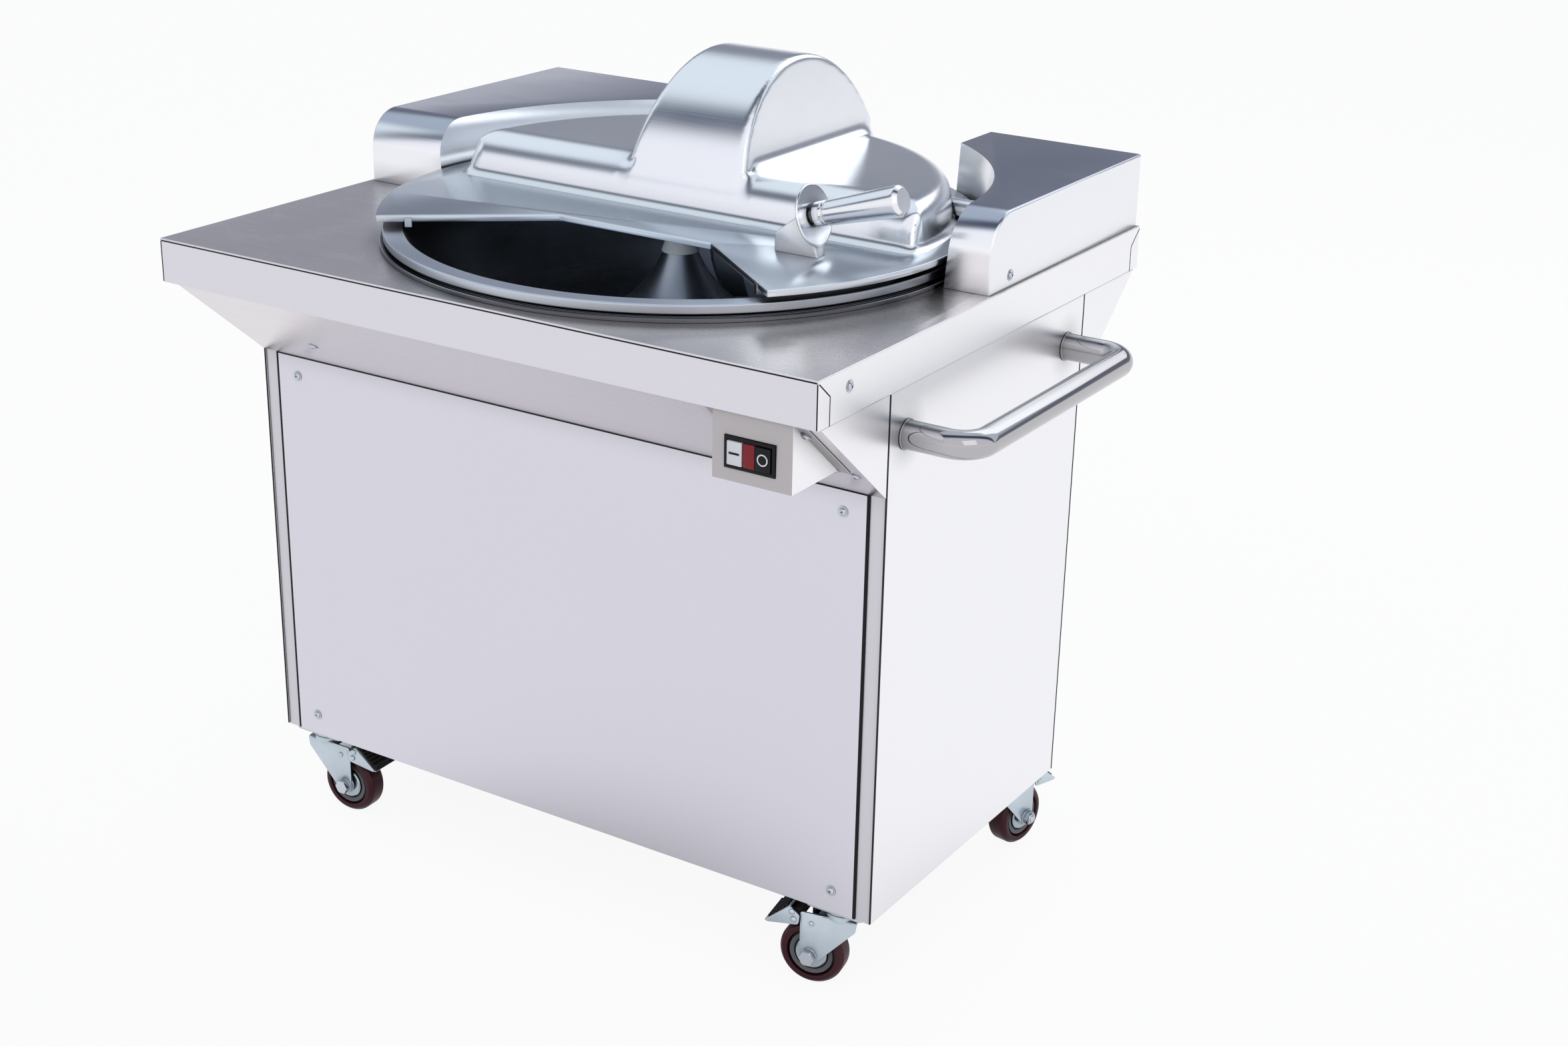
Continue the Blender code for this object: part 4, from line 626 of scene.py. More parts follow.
def makeBowl():
    b = bowl
    inner = troughArc(b["troughRadius"], b["troughHeight"] - b["coneDrop"],
                      b["troughHeight"] - b["flareDrop"], 48)
    outer = troughArc(b["troughRadius"] + b["wall"],
                      b["troughHeight"] - b["troughRadius"] * b["wallTop"],
                      b["troughHeight"] - b["flareDrop"], 20)
    under = b["rimHeight"] - b["band"]
    floor = b["troughHeight"] - b["troughRadius"] - b["wall"]
    rim = rounded([(b["mouthRadius"], b["rimHeight"]), (b["rimRadius"], b["rimHeight"]),
                   (b["rimRadius"], under), (b["skirtRadius"], under),
                   (b["skirtRadius"], -b["skirtLow"])], b["rimRound"], 4, False)
    profile = [(0, inner[0][1])] + inner
    profile += rounded([inner[-1], (b["mouthRadius"], b["rimHeight"]),
                        (b["rimRadius"], b["rimHeight"])], b["rimRound"], 4, False)[1:-1]
    profile += rim[1:]
    profile += list(reversed([p for p in outer if p[0] > b["hubRadius"]]))
    profile += [(b["hubRadius"], floor - b["hubDrop"]), (0, floor - b["hubDrop"])]
    shape = revolve(profile, b["steps"], where=bowlFrame)
    keep("bowl_casting", toMesh(shape, "bowl_casting", 30.0), "bowl_set", "castBowl", "bowl")
    # the nylon cap sits over the cone's tip like a thimble
    cone = [(radius + b["capGap"], height) for radius, height in inner
            if height > b["cap"][-1][1]]
    cap = [(0, b["cap"][0][1])] + b["cap"] + [(cone[-1][0], b["cap"][-1][1])]
    cap = rounded(cap, b["capRound"], 5, False) + list(reversed(cone))
    shape = revolve(cap + [(0, cone[0][1] + b["capGap"])], 64, where=bowlFrame)
    keep("bowl_cap_moulding", toMesh(shape, "cap"), "bowl_set", "nylon", "bowl_cap")


def makeSealRing():
    lowest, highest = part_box("bowl_seal_ring")
    outer, height = (highest.x - lowest.x) / 2, highest.z - lowest.z
    inner, groove = bead["inner"], bead["groove"]
    width, narrow = (outer - inner) / 3, groove * bead["narrow"]
    profile = [(inner, 0), (inner, height)]
    for k in (1, 2):
        edge = inner + width * k
        profile += [(edge - groove, height), (edge - narrow, height - 2 * groove),
                    (edge + narrow, height - 2 * groove), (edge + groove, height)]
    profile += [(outer - bead["edge"], height), (outer, height - bead["edge"]), (outer, 0)]
    shape = revolve(profile, bead["steps"], True, at(bowlAxis.x, bowlAxis.y, lowest.z))
    keep("bowl_bead", toMesh(shape, "bowl_bead", 25.0), "cabinet", "ringSteelPaintedShade", "bowl_seal_ring")


makeBowl()
makeSealRing()
print("bowl ready")


# Cover casting
cover = {
    "radius": 0.3545, "top": 0.034, "thickness": 0.008, "lipInner": 0.314, "lipOuter": 0.322,
    "lipLow": 0.0206, "lipRelief": 0.030, "mouthBack": 0.107, "mouthLeft": 0.096,
    "mouthRight": 0.116, "leftTurn": math.radians(222.5), "rightTurn": math.radians(-40.4),
    "hoodRadius": 0.322, "hoodTop": 0.084, "hoodFront": 0.011, "frontRound": 0.0445,
    "edgeRound": 0.022, "wall": 0.004, "draft": 0.178, "domeRadius": 0.158,
    "domeHalf": 0.089, "notch": 0.0195, "foot": 0.009, "cell": 0.0024, "smoothing": 9,
    "lugSpacing": 0.045, "lugWidth": 0.014, "lugRadius": 0.011, "setBack": 0.0008,
    "domeRound": 0.0045, "leastRound": 0.002, "cornerReach": 0.018, "cornerPlace": (0.004, 0.006),
    "joinReach": 0.014, "joinRounds": 60, "joinFront": (0.03, 0.045), "joinLow": 0.05,
    "joinShare": 0.7, "below": 0.016, "lugRoot": 0.014, "pinRadius": 0.0063, "sink": 0.0005,
    "steep": 0.3, "mouthRound": 0.006, "lipInto": 0.003, "plateRound": 0.0014,
    "mouthAside": 0.02, "mouthForward": (0.0175, 0.0187), "cutBelow": 0.01,
}
domeCentre = (shaftAxis.y - bowlAxis.y, shaftAxis.z - tableTop)


def frontSlope():
    foot = Vector((-cover["hoodFront"], cover["top"]))
    centre = Vector(domeCentre)
    out = foot - centre
    turn = math.atan2(out.y, out.x) % (2 * math.pi) - math.acos(cover["domeRadius"] / out.length)
    touch = centre + cover["domeRadius"] * Vector((math.cos(turn), math.sin(turn)))
    return foot, touch, turn


def domeSide(inset, lowest, steps=96):
    foot, touch, turn = frontSlope()
    lean = (touch - foot).normalized()
    start = foot + lean * ((lowest - cover["top"]) / lean.y) + Vector((inset, 0))
    radius = cover["domeRadius"] - inset
    return [tuple(start)] + arc(domeCentre, radius, turn, 0, steps) + [
        (domeCentre[0] + radius, lowest)]


def hoodSide(inset, lowest, steps=24):
    foot, touch, turn = frontSlope()
    lean = math.atan2(touch.y - foot.y, touch.x - foot.x)
    radius = cover["frontRound"] - inset
    top = cover["hoodTop"] - inset
    start = top - radius * (1 - math.cos(lean))
    y = foot.x + (start - foot.y) / math.tan(lean) + inset / math.sin(lean)
    centre = (y + radius * math.sin(lean), top - radius)
    base = foot.x + (lowest - foot.y) / math.tan(lean) + inset / math.sin(lean)
    return [(base, lowest)] + arc(centre, radius, math.pi / 2 + lean, math.pi / 2, steps) + [
        (cover["radius"], top), (cover["radius"], lowest)]


def hoodDrum(inset, lowest, steps=144):
    radius = cover["hoodRadius"] - inset
    top = cover["hoodTop"] - inset
    edge = cover["edgeRound"] - inset
    topRadius = radius - (top - cover["top"]) * cover["draft"]
    lean = math.atan(cover["draft"])
    centre = (topRadius - edge * (1 - math.sin(lean)) / math.cos(lean), top - edge)
    profile = [(0, top)] + arc(centre, edge, math.pi / 2, lean, 12)
    profile += [(radius, cover["top"]), (radius, lowest), (0, lowest)]
    return revolve(profile, steps)


def leanEnds(shape, half):
    for vertex in shape.verts:
        side = 1 if vertex.co.x > 0 else -1
        vertex.co.x = side * (half - cover["draft"] * (vertex.co.z - domeCentre[1]))
    return faceOut(shape)


def castForm(inset, lowest):
    drum = carve(hoodDrum(inset, lowest), [slab(hoodSide(inset, lowest - 0.002),
                                                2 * cover["radius"], facingX)], "INTERSECT")
    dome = leanEnds(slab(domeSide(inset + cover["setBack"], lowest), 0.1, facingX),
                    cover["domeHalf"] - inset)
    return carve(drum, [soften(dome, max(cover["domeRound"] - inset,
                                     cover["leastRound"]), 3, 60.0)], "UNION")


def relax(shape):
    # wider fillets where the dome grows out of the hood, and on the hood's front corners
    c = cover
    picked = []
    for vertex in shape.verts:
        x, y, z = abs(vertex.co.x), vertex.co.y, vertex.co.z
        aside = x - (c["domeHalf"] - c["draft"] * (z - domeCentre[1]))
        above = z - c["hoodTop"]
        behind = y - domeCentre[0] - math.sqrt(c["domeRadius"] ** 2
                                               - (c["hoodTop"] - domeCentre[1]) ** 2)
        join = math.hypot(aside, above) < c["joinReach"] and y > c["joinFront"][0]
        join = join or (math.hypot(behind, above) < c["joinReach"] and aside < 0)
        join = join or (abs(aside) < c["joinReach"] * c["joinShare"] and y < c["joinFront"][1]
                        and above < 0 and z > c["joinLow"])
        corner = math.hypot(x - c["hoodRadius"] + c["cornerPlace"][0],
                            y + c["cornerPlace"][1]) < c["cornerReach"]
        if join or corner:
            picked.append(vertex)
    for k in range(c["joinRounds"]):
        bmesh.ops.smooth_vert(shape, verts=picked, factor=0.5, use_axis_x=True, use_axis_y=True,
                              use_axis_z=True)


def shaftNotch():
    # the way for the shaft on the right, open downwards
    outline = arc(domeCentre, cover["notch"], 0, math.pi, 24)
    outline += [(domeCentre[0] - cover["notch"], 0), (domeCentre[0] + cover["notch"], 0)]
    return slab(outline, 0.25, at(0.235, 0, 0) @ facingX)


def makeHood():
    c = cover
    reach, height = hingeAxis.y - bowlAxis.y, hingeAxis.z - tableTop
    lugs = []
    for side in (-1, 1):
        ear = [(c["hoodRadius"] - c["lugRoot"], height - c["lugRadius"])]
        ear += arc((reach, height), c["lugRadius"], -math.pi / 2, math.pi / 2, 16)
        ear += [(c["hoodRadius"] - c["lugRoot"], height + c["lugRadius"])]
        lugs.append(slab(ear, c["lugWidth"], at(side * c["lugSpacing"], 0, 0) @ facingX))
    item = plainObject("hood", carve(castForm(0.0, c["top"] - c["below"]), lugs, "UNION"))
    cells = item.modifiers.new("cells", "REMESH")
    cells.mode = "VOXEL"
    cells.voxel_size = c["cell"]
    soft = item.modifiers.new("soft", "SMOOTH")
    soft.factor = 0.5
    soft.iterations = c["smoothing"]
    mesh = evaluated(item)
    shape = bmesh.new()
    shape.from_mesh(mesh)
    bpy.data.meshes.remove(mesh)
    relax(shape)
    shape.normal_update()
    bmesh.ops.bisect_plane(shape, geom=shape.verts[:] + shape.edges[:] + shape.faces[:],
                           plane_co=(0, 0, c["top"] - c["sink"]), plane_no=(0, 0, -1),
                           clear_outer=True)
    for vertex in shape.verts:
        # the casting's foot spreads into the plate
        rise = vertex.co.z - c["top"]
        flat = Vector((vertex.normal.x, vertex.normal.y, 0))
        if rise < c["foot"] and flat.length > c["steep"]:
            share = 1 - max(rise, 0) / c["foot"]
            vertex.co += flat.normalized() * c["foot"] * (1 - math.sqrt(1 - share ** 2))
    bmesh.ops.contextual_create(shape, geom=[e for e in shape.edges if e.is_boundary])
    pin = slab(arc((0, 0), c["pinRadius"], 0, 2 * math.pi * 23 / 24, 23), c["radius"],
               at(0, reach, height) @ lyingX)
    shape = carve(shape, [castForm(c["wall"], c["lipLow"] - c["cutBelow"]), shaftNotch(), pin])
    shape.transform(bowlFrame)
    keep("cover_hood", toMesh(shape, "cover_hood", 40.0), "lid", "castCover", "cover")


def makePlate():
    c = cover
    outline = arc((0, 0), c["radius"], c["rightTurn"], c["leftTurn"], 150)
    outline += rounded([outline[-1], (-c["mouthLeft"], -c["mouthBack"]),
                        (c["mouthRight"], -c["mouthBack"]), outline[0]], c["mouthRound"], 5,
                       False)[1:-1]
    plate = slab(outline, c["thickness"], at(0, 0, c["top"] - c["thickness"] / 2))
    lipTop = c["top"] - c["lipInto"]
    lip = revolve([(c["lipInner"], c["lipLow"]), (c["lipOuter"], c["lipLow"]),
                   (c["lipOuter"], lipTop), (c["lipInner"], lipTop)], 144, True)
    ends = [Vector((math.cos(turn), math.sin(turn))) * c["radius"]
            for turn in (c["rightTurn"], c["leftTurn"])]
    aside, forward = c["mouthAside"], c["mouthForward"]
    mouth = slab([(-0.5, -0.6), (0.5, -0.6), (ends[0].x + aside, ends[0].y - forward[0]),
                  (c["mouthRight"], -c["mouthBack"]), (-c["mouthLeft"], -c["mouthBack"]),
                  (ends[1].x - aside, ends[1].y - forward[1])], 0.2)
    relief = block((-c["lipRelief"], 0.2, 0), (c["lipRelief"], c["radius"] + 0.01,
                                               c["top"] - c["thickness"] - c["setBack"]))
    plate = carve(soften(plate, c["plateRound"], 2, 60.0), [carve(lip, [mouth, relief])], "UNION")
    plate = carve(plate, [castForm(c["wall"], c["lipLow"] - c["cutBelow"]), shaftNotch()])
    plate.transform(bowlFrame)
    keep("cover_plate", toMesh(plate, "cover_plate", 35.0), "lid", "castPlate",
         slot="cast_aluminium")


makeHood()
makePlate()
print("cover ready")


# Lifting handle on the cover
handle = {
    "left": 0.1900, "front": 0.083, "length": 0.056, "width": 0.0185, "low": 0.014,
    "high": 0.052, "tilt": math.radians(16.5), "nose": math.radians(62), "soft": 0.0022,
    "guardRadius": 0.0352, "guard": 0.004, "guardHeight": 0.0465, "gap": 0.0003,
    "guardFlat": 0.024, "thin": 0.85, "neckRadius": 0.010, "neck": 0.007, "rootRadius": 0.0140,
    "endRadius": 0.0175, "grip": 0.114,
    "gripRound": [0, 0.001, 0.0004, 0.0003, 0.0003, 0.0006, 0.004, 0.0025, 0.002],
}


def makeHandle():
    h = handle
    start = Vector((bowlAxis.x + h["left"], bowlAxis.y - h["front"],
                    tableTop + cover["top"] + h["gap"]))
    outline = [(0, 0), (h["length"], 0),
               (h["length"] - h["high"] * math.tan(h["tilt"]), h["high"])]
    outline += arc((h["low"], h["low"]), h["low"], math.pi - h["nose"], math.pi, 10)
    wedge = soften(slab(outline, h["width"], facingY), h["soft"], 3,
                   pick=lambda e: max(v.co.z for v in e.verts) > 0.0002)
    wedge.transform(at(*start))
    keep("handle_casting", toMesh(wedge, "handle_casting", 30.0), "lid", "castHandle",
         "handle_block")
    lean = Vector((math.cos(h["tilt"]), 0, math.sin(h["tilt"])))
    up = Vector((-math.sin(h["tilt"]), 0, math.cos(h["tilt"])))
    centre = start + Vector((h["length"], 0, 0)) + up * (h["guardHeight"] - h["gap"])
    centre += lean * h["gap"]
    turn = Matrix.Rotation(math.pi / 2 - h["tilt"], 4, "Y")
    flat, edge = h["guard"], h["guard"] / 2
    rim = h["guardRadius"] - edge
    disc = [(0, flat), (h["guardFlat"], flat), (rim, flat * h["thin"])]
    disc += arc((rim, edge), edge * h["thin"], math.pi / 2, -math.pi / 2, 8)
    disc += [(0, 0)]
    shape = revolve(disc, 72, where=at(*centre) @ turn)
    keep("guard_disc", toMesh(shape, "guard_disc", 30.0), "lid", "gripSteel", "handle_guard")
    root, end = h["rootRadius"], h["endRadius"]
    profile = [(0, 0), (h["neckRadius"], 0), (h["neckRadius"], h["neck"] * 0.35)]
    profile += rounded([(h["neckRadius"], h["neck"] * 0.35), (root, h["neck"] * 0.45),
                        (root, h["neck"] + 0.008), (root - 0.0012, h["neck"] + 0.0088),
                        (root - 0.0012, h["neck"] + 0.0105), (root + 0.0003, h["neck"] + 0.0115),
                        (end - 0.0002, h["grip"] - 0.010), (end, h["grip"] - 0.004),
                        (end - 0.004, h["grip"])], h["gripRound"], 4, False)[1:]
    profile += [(0, h["grip"])]
    shape = revolve(profile, 64, where=at(*(centre + lean * (h["guard"] + h["gap"]))) @ turn)
    keep("grip_turned", toMesh(shape, "grip_turned", 28.0), "lid", "gripSteel", "cover_grip")


makeHandle()


# Housings in the back corners
pod = {
    "height": 0.088, "front": 0.362, "round": 0.046, "wall": 0.002, "curve": 0.3585,
    "draft": 0.085, "end": 0.210, "fold": 0.0028, "bore": 0.0175, "over": 0.01, "drill": 0.07,
}


def podSolid(lowest, highest, inset, drop):
    front, rear = lowest.y + inset, highest.y - inset
    top, radius = pod["height"] - inset, pod["round"] - inset
    outline = [(rear, drop), (rear, top)] + arc((front + radius, top - radius), radius,
                                              math.pi / 2, math.pi, 24) + [(front, drop)]
    return slab(outline, highest.x - lowest.x - 2 * inset,
                at((lowest.x + highest.x) / 2, 0, 0) @ facingX)


def bowlCone(extra, steps=200):
    over, top = pod["over"], pod["height"] + pod["over"]
    spread = pod["draft"] * over
    radius = pod["curve"] + extra
    return revolve([(0, -over), (radius - spread, -over),
                    (radius + pod["height"] * pod["draft"] + spread, top), (0, top)], steps,
                   where=at(bowlAxis.x, bowlAxis.y, 0))


def makePod(node, side):
    lowest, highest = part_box(node)
    inner = bowlAxis.x + side * pod["end"]
    wide = [inner, highest.x] if side > 0 else [lowest.x, inner]
    lowest, highest = Vector((wide[0], lowest.y, 0)), Vector((wide[1], highest.y, 0))
    outside = wide[1] if side > 0 else wide[0]
    solid = soften(podSolid(lowest, highest, 0, 0), pod["fold"], 3, pick=lambda e: all(
        abs(v.co.x - outside) < 1e-5 for v in e.verts) and max(v.co.z for v in e.verts) > 1e-4)
    hollow = carve(podSolid(lowest, highest, pod["wall"], -pod["over"]), [bowlCone(pod["wall"])])
    cuts = [bowlCone(0), hollow]
    if side > 0:
        cuts.append(slab(arc((shaftAxis.y, shaftAxis.z - tableTop), pod["bore"], 0,
                             2 * math.pi * 47 / 48, 47), 0.15,
                         at(inner + pod["drill"], 0, 0) @ facingX))
    shape = carve(solid, cuts)
    shape.transform(at(0, 0, low(node).z))
    keep(node + "_sheet", toMesh(shape, node, 32.0), "cabinet", "podSteel", node)


makePod("left_pod", -1)
makePod("right_pod", 1)


# Push rail on the right-hand side
rail = {"radius": 0.016, "bend": 0.030, "bead": 0.0013, "beadRise": 0.0006, "root": 0.002,
        "steps": 14}


def makeRail():
    lowest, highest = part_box("push_handle")
    start, out = lowest.x, highest.x - rail["radius"]
    front, rear = lowest.y + rail["radius"], highest.y - rail["radius"]
    z = (lowest.z + highest.z) / 2
    corner = out - rail["bend"]
    path = [(start, front, z)]
    path += [(x, y, z) for x, y in arc((corner, front + rail["bend"]), rail["bend"],
                                       -math.pi / 2, 0, rail["steps"])]
    path += [(x, y, z) for x, y in arc((corner, rear - rail["bend"]), rail["bend"], 0,
                                       math.pi / 2, rail["steps"])]
    path.append((start, rear, z))
    keep("rail_tube", toMesh(pipe(path, rail["radius"]), "rail_tube", 40.0), "cabinet", "chrome",
         "push_handle")
    beads = []
    for y in (front, rear):
        weld = arc((rail["radius"], rail["beadRise"]), rail["bead"], -0.2, math.pi, 8)
        weld += [(rail["radius"] - rail["root"], 0)]
        beads.append(revolve(weld, 40, True, at(start, y, z) @ lyingX))
    keep("rail_welds", toMesh(merged(*beads), "rail_welds", 50.0), "cabinet", "steel",
         slot="polished")


makeRail()
print("handles and housings ready")


# Two-button switch
switch = {
    "mark": 0.00035, "barLength": 0.0125, "bar": 0.0022, "ring": 0.0057, "ringWidth": 0.0007,
    "strip": 0.0012, "stripGap": 0.0010, "stripEnd": 0.0045, "inside": 0.001,
    "bodyRound": 0.0006, "capRound": 0.0008, "markRound": 0.00015, "stripRound": 0.0005,
}


def makeSwitch():
    s = switch
    lowest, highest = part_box("switch_bezel")
    shape = soften(cadCopy("switch_bezel"), s["bodyRound"])
    keep("switch_body", toMesh(shape, "switch_body", 40.0), "cabinet", "black", "switch_bezel")
    for node, finish, other, body in (("on_button", "white", "black", "start_button"),
                                      ("off_button", "black", "white", "stop_button")):
        first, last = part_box(node)
        shape = soften(block(first, last), s["capRound"], 3)
        keep(node + "_cap", toMesh(shape, node, 40.0), body, finish, node)
        centre = (first + last) / 2
        if node == "on_button":
            half = Vector((s["barLength"] / 2, 0, s["bar"] / 2))
            face = Vector((centre.x, first.y, centre.z))
            mark = soften(block(face - half - Vector((0, s["mark"], 0)),
                                face + half + Vector((0, s["inside"], 0))), s["markRound"])
        else:
            inner, outer = s["ring"] - s["ringWidth"], s["ring"] + s["ringWidth"]
            mark = revolve([(inner, 0), (inner, s["mark"]), (outer, s["mark"]), (outer, 0)], 40,
                           True, at(centre.x, first.y, centre.z) @ facingY)
        keep(node + "_mark", toMesh(mark, "mark", 40.0), body, other, slot=finish)
    gap = (high("on_button").x + low("off_button").x) / 2
    half = (low("off_button").x - high("on_button").x) / 2 - s["stripGap"]
    strip = block((gap - half, lowest.y - s["strip"], lowest.z + s["stripEnd"]),
                  (gap + half, lowest.y + s["inside"], highest.z - s["stripEnd"]))
    keep("switch_strip", toMesh(soften(strip, s["stripRound"], 3), "strip", 40.0), "cabinet",
         "red", slot="black")


makeSwitch()
print("switch ready")


# Castors: each made around its swivel's axis, then turned into its place
castor = {
    "height": 0.110, "wheel": 0.0400, "tread": 0.030, "hubWidth": 0.033, "trail": 0.035,
    "gap": 0.0375, "sheet": 0.0025, "back": 0.024, "topDrop": 0.0125, "eye": 0.0125,
    "plateSheet": 0.003, "race": 0.0235, "raceHeight": 0.004, "brakeAhead": 0.0185,
    "brakeAbove": 0.0465, "pedalReach": 0.0365, "pedalFall": 0.011, "pedalRise": 0.016,
    "pedalSheet": 0.002, "pedalFront": 0.0045, "pedalGap": 0.0005, "pedalPlate": 0.0018,
    "pedalRivets": ((0, 0), (0.0025, 0.0095)), "pedalRivet": (1.15, 0.0022),
    "boltRadius": 0.0095, "boltHeight": 0.0064, "nutShare": 0.96, "nutHeight": 0.0056,
    "corner": 0.72, "cornerTurn": (1.1, 0.93, 0.80), "crown": 0.00008, "washerRise": 0.001,
    "rivet": 0.0032, "rivetHeight": 0.0020, "rivetPlace": (0.003, 0.0445),
    "shoe": [(-0.0055, -0.0045), (0.0120, -0.0060), (0.0150, 0.0080), (-0.0040, 0.0120)],
    "shoeGap": 0.002, "shoeRound": 0.0012,
    "washer": [(0, 0.0012), (0.0102, 0.0012), (0.0106, 0.0008), (0.0106, -0.0002), (0, -0.0002)],
    "collar": [(0, 0.0080), (0.0056, 0.0080), (0.0068, 0.0070), (0.0068, 0.0050), (0, 0.0050)],
    "thread": [(0, 0.0092), (0.0040, 0.0092), (0.0047, 0.0084), (0.0047, 0.005), (0, 0.005)],
    "ribs": 6, "ribPitch": 0.13, "ribLength": 0.86, "ribRadius": 0.062, "ribStart": 0.16,
    "ribRise": 0.0007,
    "boltSide": {"front_left": -1, "front_right": 1, "rear_right": 1, "rear_left": -1},
}


def hexHead(radius, height):
    # a hexagon head or nut with its corners turned off, lying on Z = 0
    shape = slab([(radius * math.cos(math.pi / 3 * i), radius * math.sin(math.pi / 3 * i))
                  for i in range(6)], height, at(0, 0, height / 2))
    wide, edge, flat = (radius * share for share in castor["cornerTurn"])
    top = height + castor["crown"]
    crown = revolve([(0, -0.001), (wide, -0.001), (wide, height * castor["corner"]),
                     (edge, height), (flat, top), (0, top)], 36)
    return carve(shape, [crown], "INTERSECT")


def rivetHead(radius, height):
    crown = [(radius * math.sin(math.pi / 12 * k), height * math.cos(math.pi / 12 * k))
             for k in range(7)]
    return revolve(crown + [(radius, -height * 0.3), (0, -height * 0.3)], 20)


def outward(shape, x, y, z, side):
    # stands a turned piece on a cheek, facing along Y
    return faceOut(shape, at(x, y, z) @ Matrix.Rotation(math.radians(-90 * side), 4, "X"))


def makeFork():
    c = castor
    axle = (c["trail"], c["wheel"] - c["height"])
    top = -c["topDrop"]
    front = c["trail"] + c["eye"] - 0.001
    cheek = rounded([(-c["back"] + 0.001, top), (front, top)]
                    + arc(axle, c["eye"] - 0.001, 0, math.radians(-148), 14)
                    + [(-c["back"] + 0.003, top - 0.013)],
                    [0.002, 0.004] + [0] * 15 + [0.004], 4)
    shapes = []
    side = (c["gap"] + c["sheet"]) / 2
    for y in (-side, side):
        shapes.append(soften(slab(cheek, c["sheet"], at(0, y, 0) @ facingY), 0.0006, 2))
    wide = c["gap"] / 2 + c["sheet"]
    crown = [(-c["back"] + 0.001, -wide), (c["trail"] - 0.010, -wide), (c["trail"] - 0.010, wide),
             (-c["back"] + 0.001, wide)]
    shapes.append(soften(slab(rounded(crown, 0.005, 4), c["sheet"],
                              at(0, 0, top - c["sheet"] * 0.4)), 0.0008, 2))
    dish = [(0, top + 0.001), (c["race"] - 0.001, top + 0.001)]
    under = -c["plateSheet"] - c["raceHeight"]
    dish += rounded([(c["race"], top - 0.002), (c["race"], under - 0.0008),
                     (c["race"] - 0.004, under - 0.0005), (0, under - 0.0005)], 0.0014, 4, False)
    shapes.append(revolve(dish, 48))
    for y in (-1, 1):
        shapes.append(outward(rivetHead(c["rivet"], c["rivetHeight"]),
                              c["trail"] - c["rivetPlace"][0], y * wide,
                              axle[1] + c["rivetPlace"][1], y))
    return merged(*shapes)


def makeBolt(side):
    # axle bolt: head and washer on one side, nut with its nylon ring on the other
    c = castor
    z = c["wheel"] - c["height"]
    wide = c["gap"] / 2 + c["sheet"]
    seat = wide + c["washerRise"]
    shapes = [outward(revolve(c["washer"], 32), c["trail"], y * wide, z, y)
              for y in (side, -side)]
    shapes.append(outward(hexHead(c["boltRadius"], c["boltHeight"]), c["trail"], side * seat, z,
                          side))
    for shape in (hexHead(c["boltRadius"] * c["nutShare"], c["nutHeight"]),
                  revolve(c["collar"], 28), revolve(c["thread"], 20)):
        shapes.append(outward(shape, c["trail"], -side * seat, z, -side))
    return merged(*shapes)


def makePedal():
    # two cheeks with their rivets around the plate that the shoe presses
    c = castor
    reach, fall, rise = c["pedalReach"], c["pedalFall"], c["pedalRise"]
    start = c["pedalFront"]
    outline = rounded([(-0.0060, -0.0062), (reach - 0.004, -fall), (reach, -fall + 0.0015),
                       (start, rise), (-0.0072, 0.006)], [0.005, 0.001, 0.001, 0.003, 0.005], 5)
    inner = c["gap"] / 2 + c["sheet"] + c["pedalGap"]
    shapes = []
    for y in (-1, 1):
        shapes.append(soften(slab(outline, c["pedalSheet"],
                                  at(0, y * (inner + c["pedalSheet"] / 2), 0) @ facingY), 0.0004))
        for x, z in c["pedalRivets"]:
            head = rivetHead(c["rivet"] * c["pedalRivet"][0], c["pedalRivet"][1])
            shapes.append(outward(head, x, y * (inner + c["pedalSheet"]), z, y))
    run = Vector((reach - start, 0, -fall - rise))
    across = 2 * inner + c["pedalSheet"]
    plate = slab(rounded([(0, -across / 2), (run.length, -across / 2), (run.length, across / 2),
                          (0, across / 2)], 0.002, 3), c["pedalPlate"])
    place = at(start, 0, rise) @ run.to_track_quat("X", "Z").to_matrix().to_4x4()
    plate = soften(plate, 0.0004)
    plate.transform(place)
    shapes.append(plate)
    return merged(*shapes), place, run.length, across


def wheelPieces():
    # tyre, rim ring and hub disc, turned around Y
    c = castor
    half, hub = c["tread"] / 2, c["hubWidth"] / 2
    cheek = [(0.0285, half * 0.66), (0.0300, half * 0.97), (c["wheel"] - 0.0045, half * 0.97),
             (c["wheel"], half * 0.62)]
    rounds = [0, 0.0015, 0.004, 0.005]
    tyre = rounded(cheek + [(radius, -y) for radius, y in reversed(cheek)],
                   rounds + list(reversed(rounds)), 5)
    ring, disc = [], []
    for side in (1, -1):
        ring.append([(0.0205, side * half * 0.5), (0.0215, side * half * 0.80),
                     (0.0265, side * half * 0.86), (0.0284, side * half * 0.66),
                     (0.0284, side * half * 0.4), (0.0205, side * half * 0.4)])
        disc.append([(0.0045, side * hub * 0.5), (0.0045, side * hub), (0.0090, side * hub),
                     (0.0105, side * (hub - 0.0016)), (0.0180, side * (hub - 0.0021)),
                     (0.0196, side * (hub - 0.0036)), (0.0196, side * hub * 0.5)])
    web = [(0.0045, 0.009), (0.0285, 0.009), (0.0285, -0.009), (0.0045, -0.009)]
    stand = Matrix.Rotation(math.radians(-90), 4, "X")
    return {"tyre": revolve(tyre, 72, True, stand),
            "rimGrey": merged(*(revolve(p, 56, True, stand) for p in ring)),
            "zinc": merged(*(revolve(p, 56, True, stand) for p in disc)),
            "black": revolve(web, 40, True, stand)}


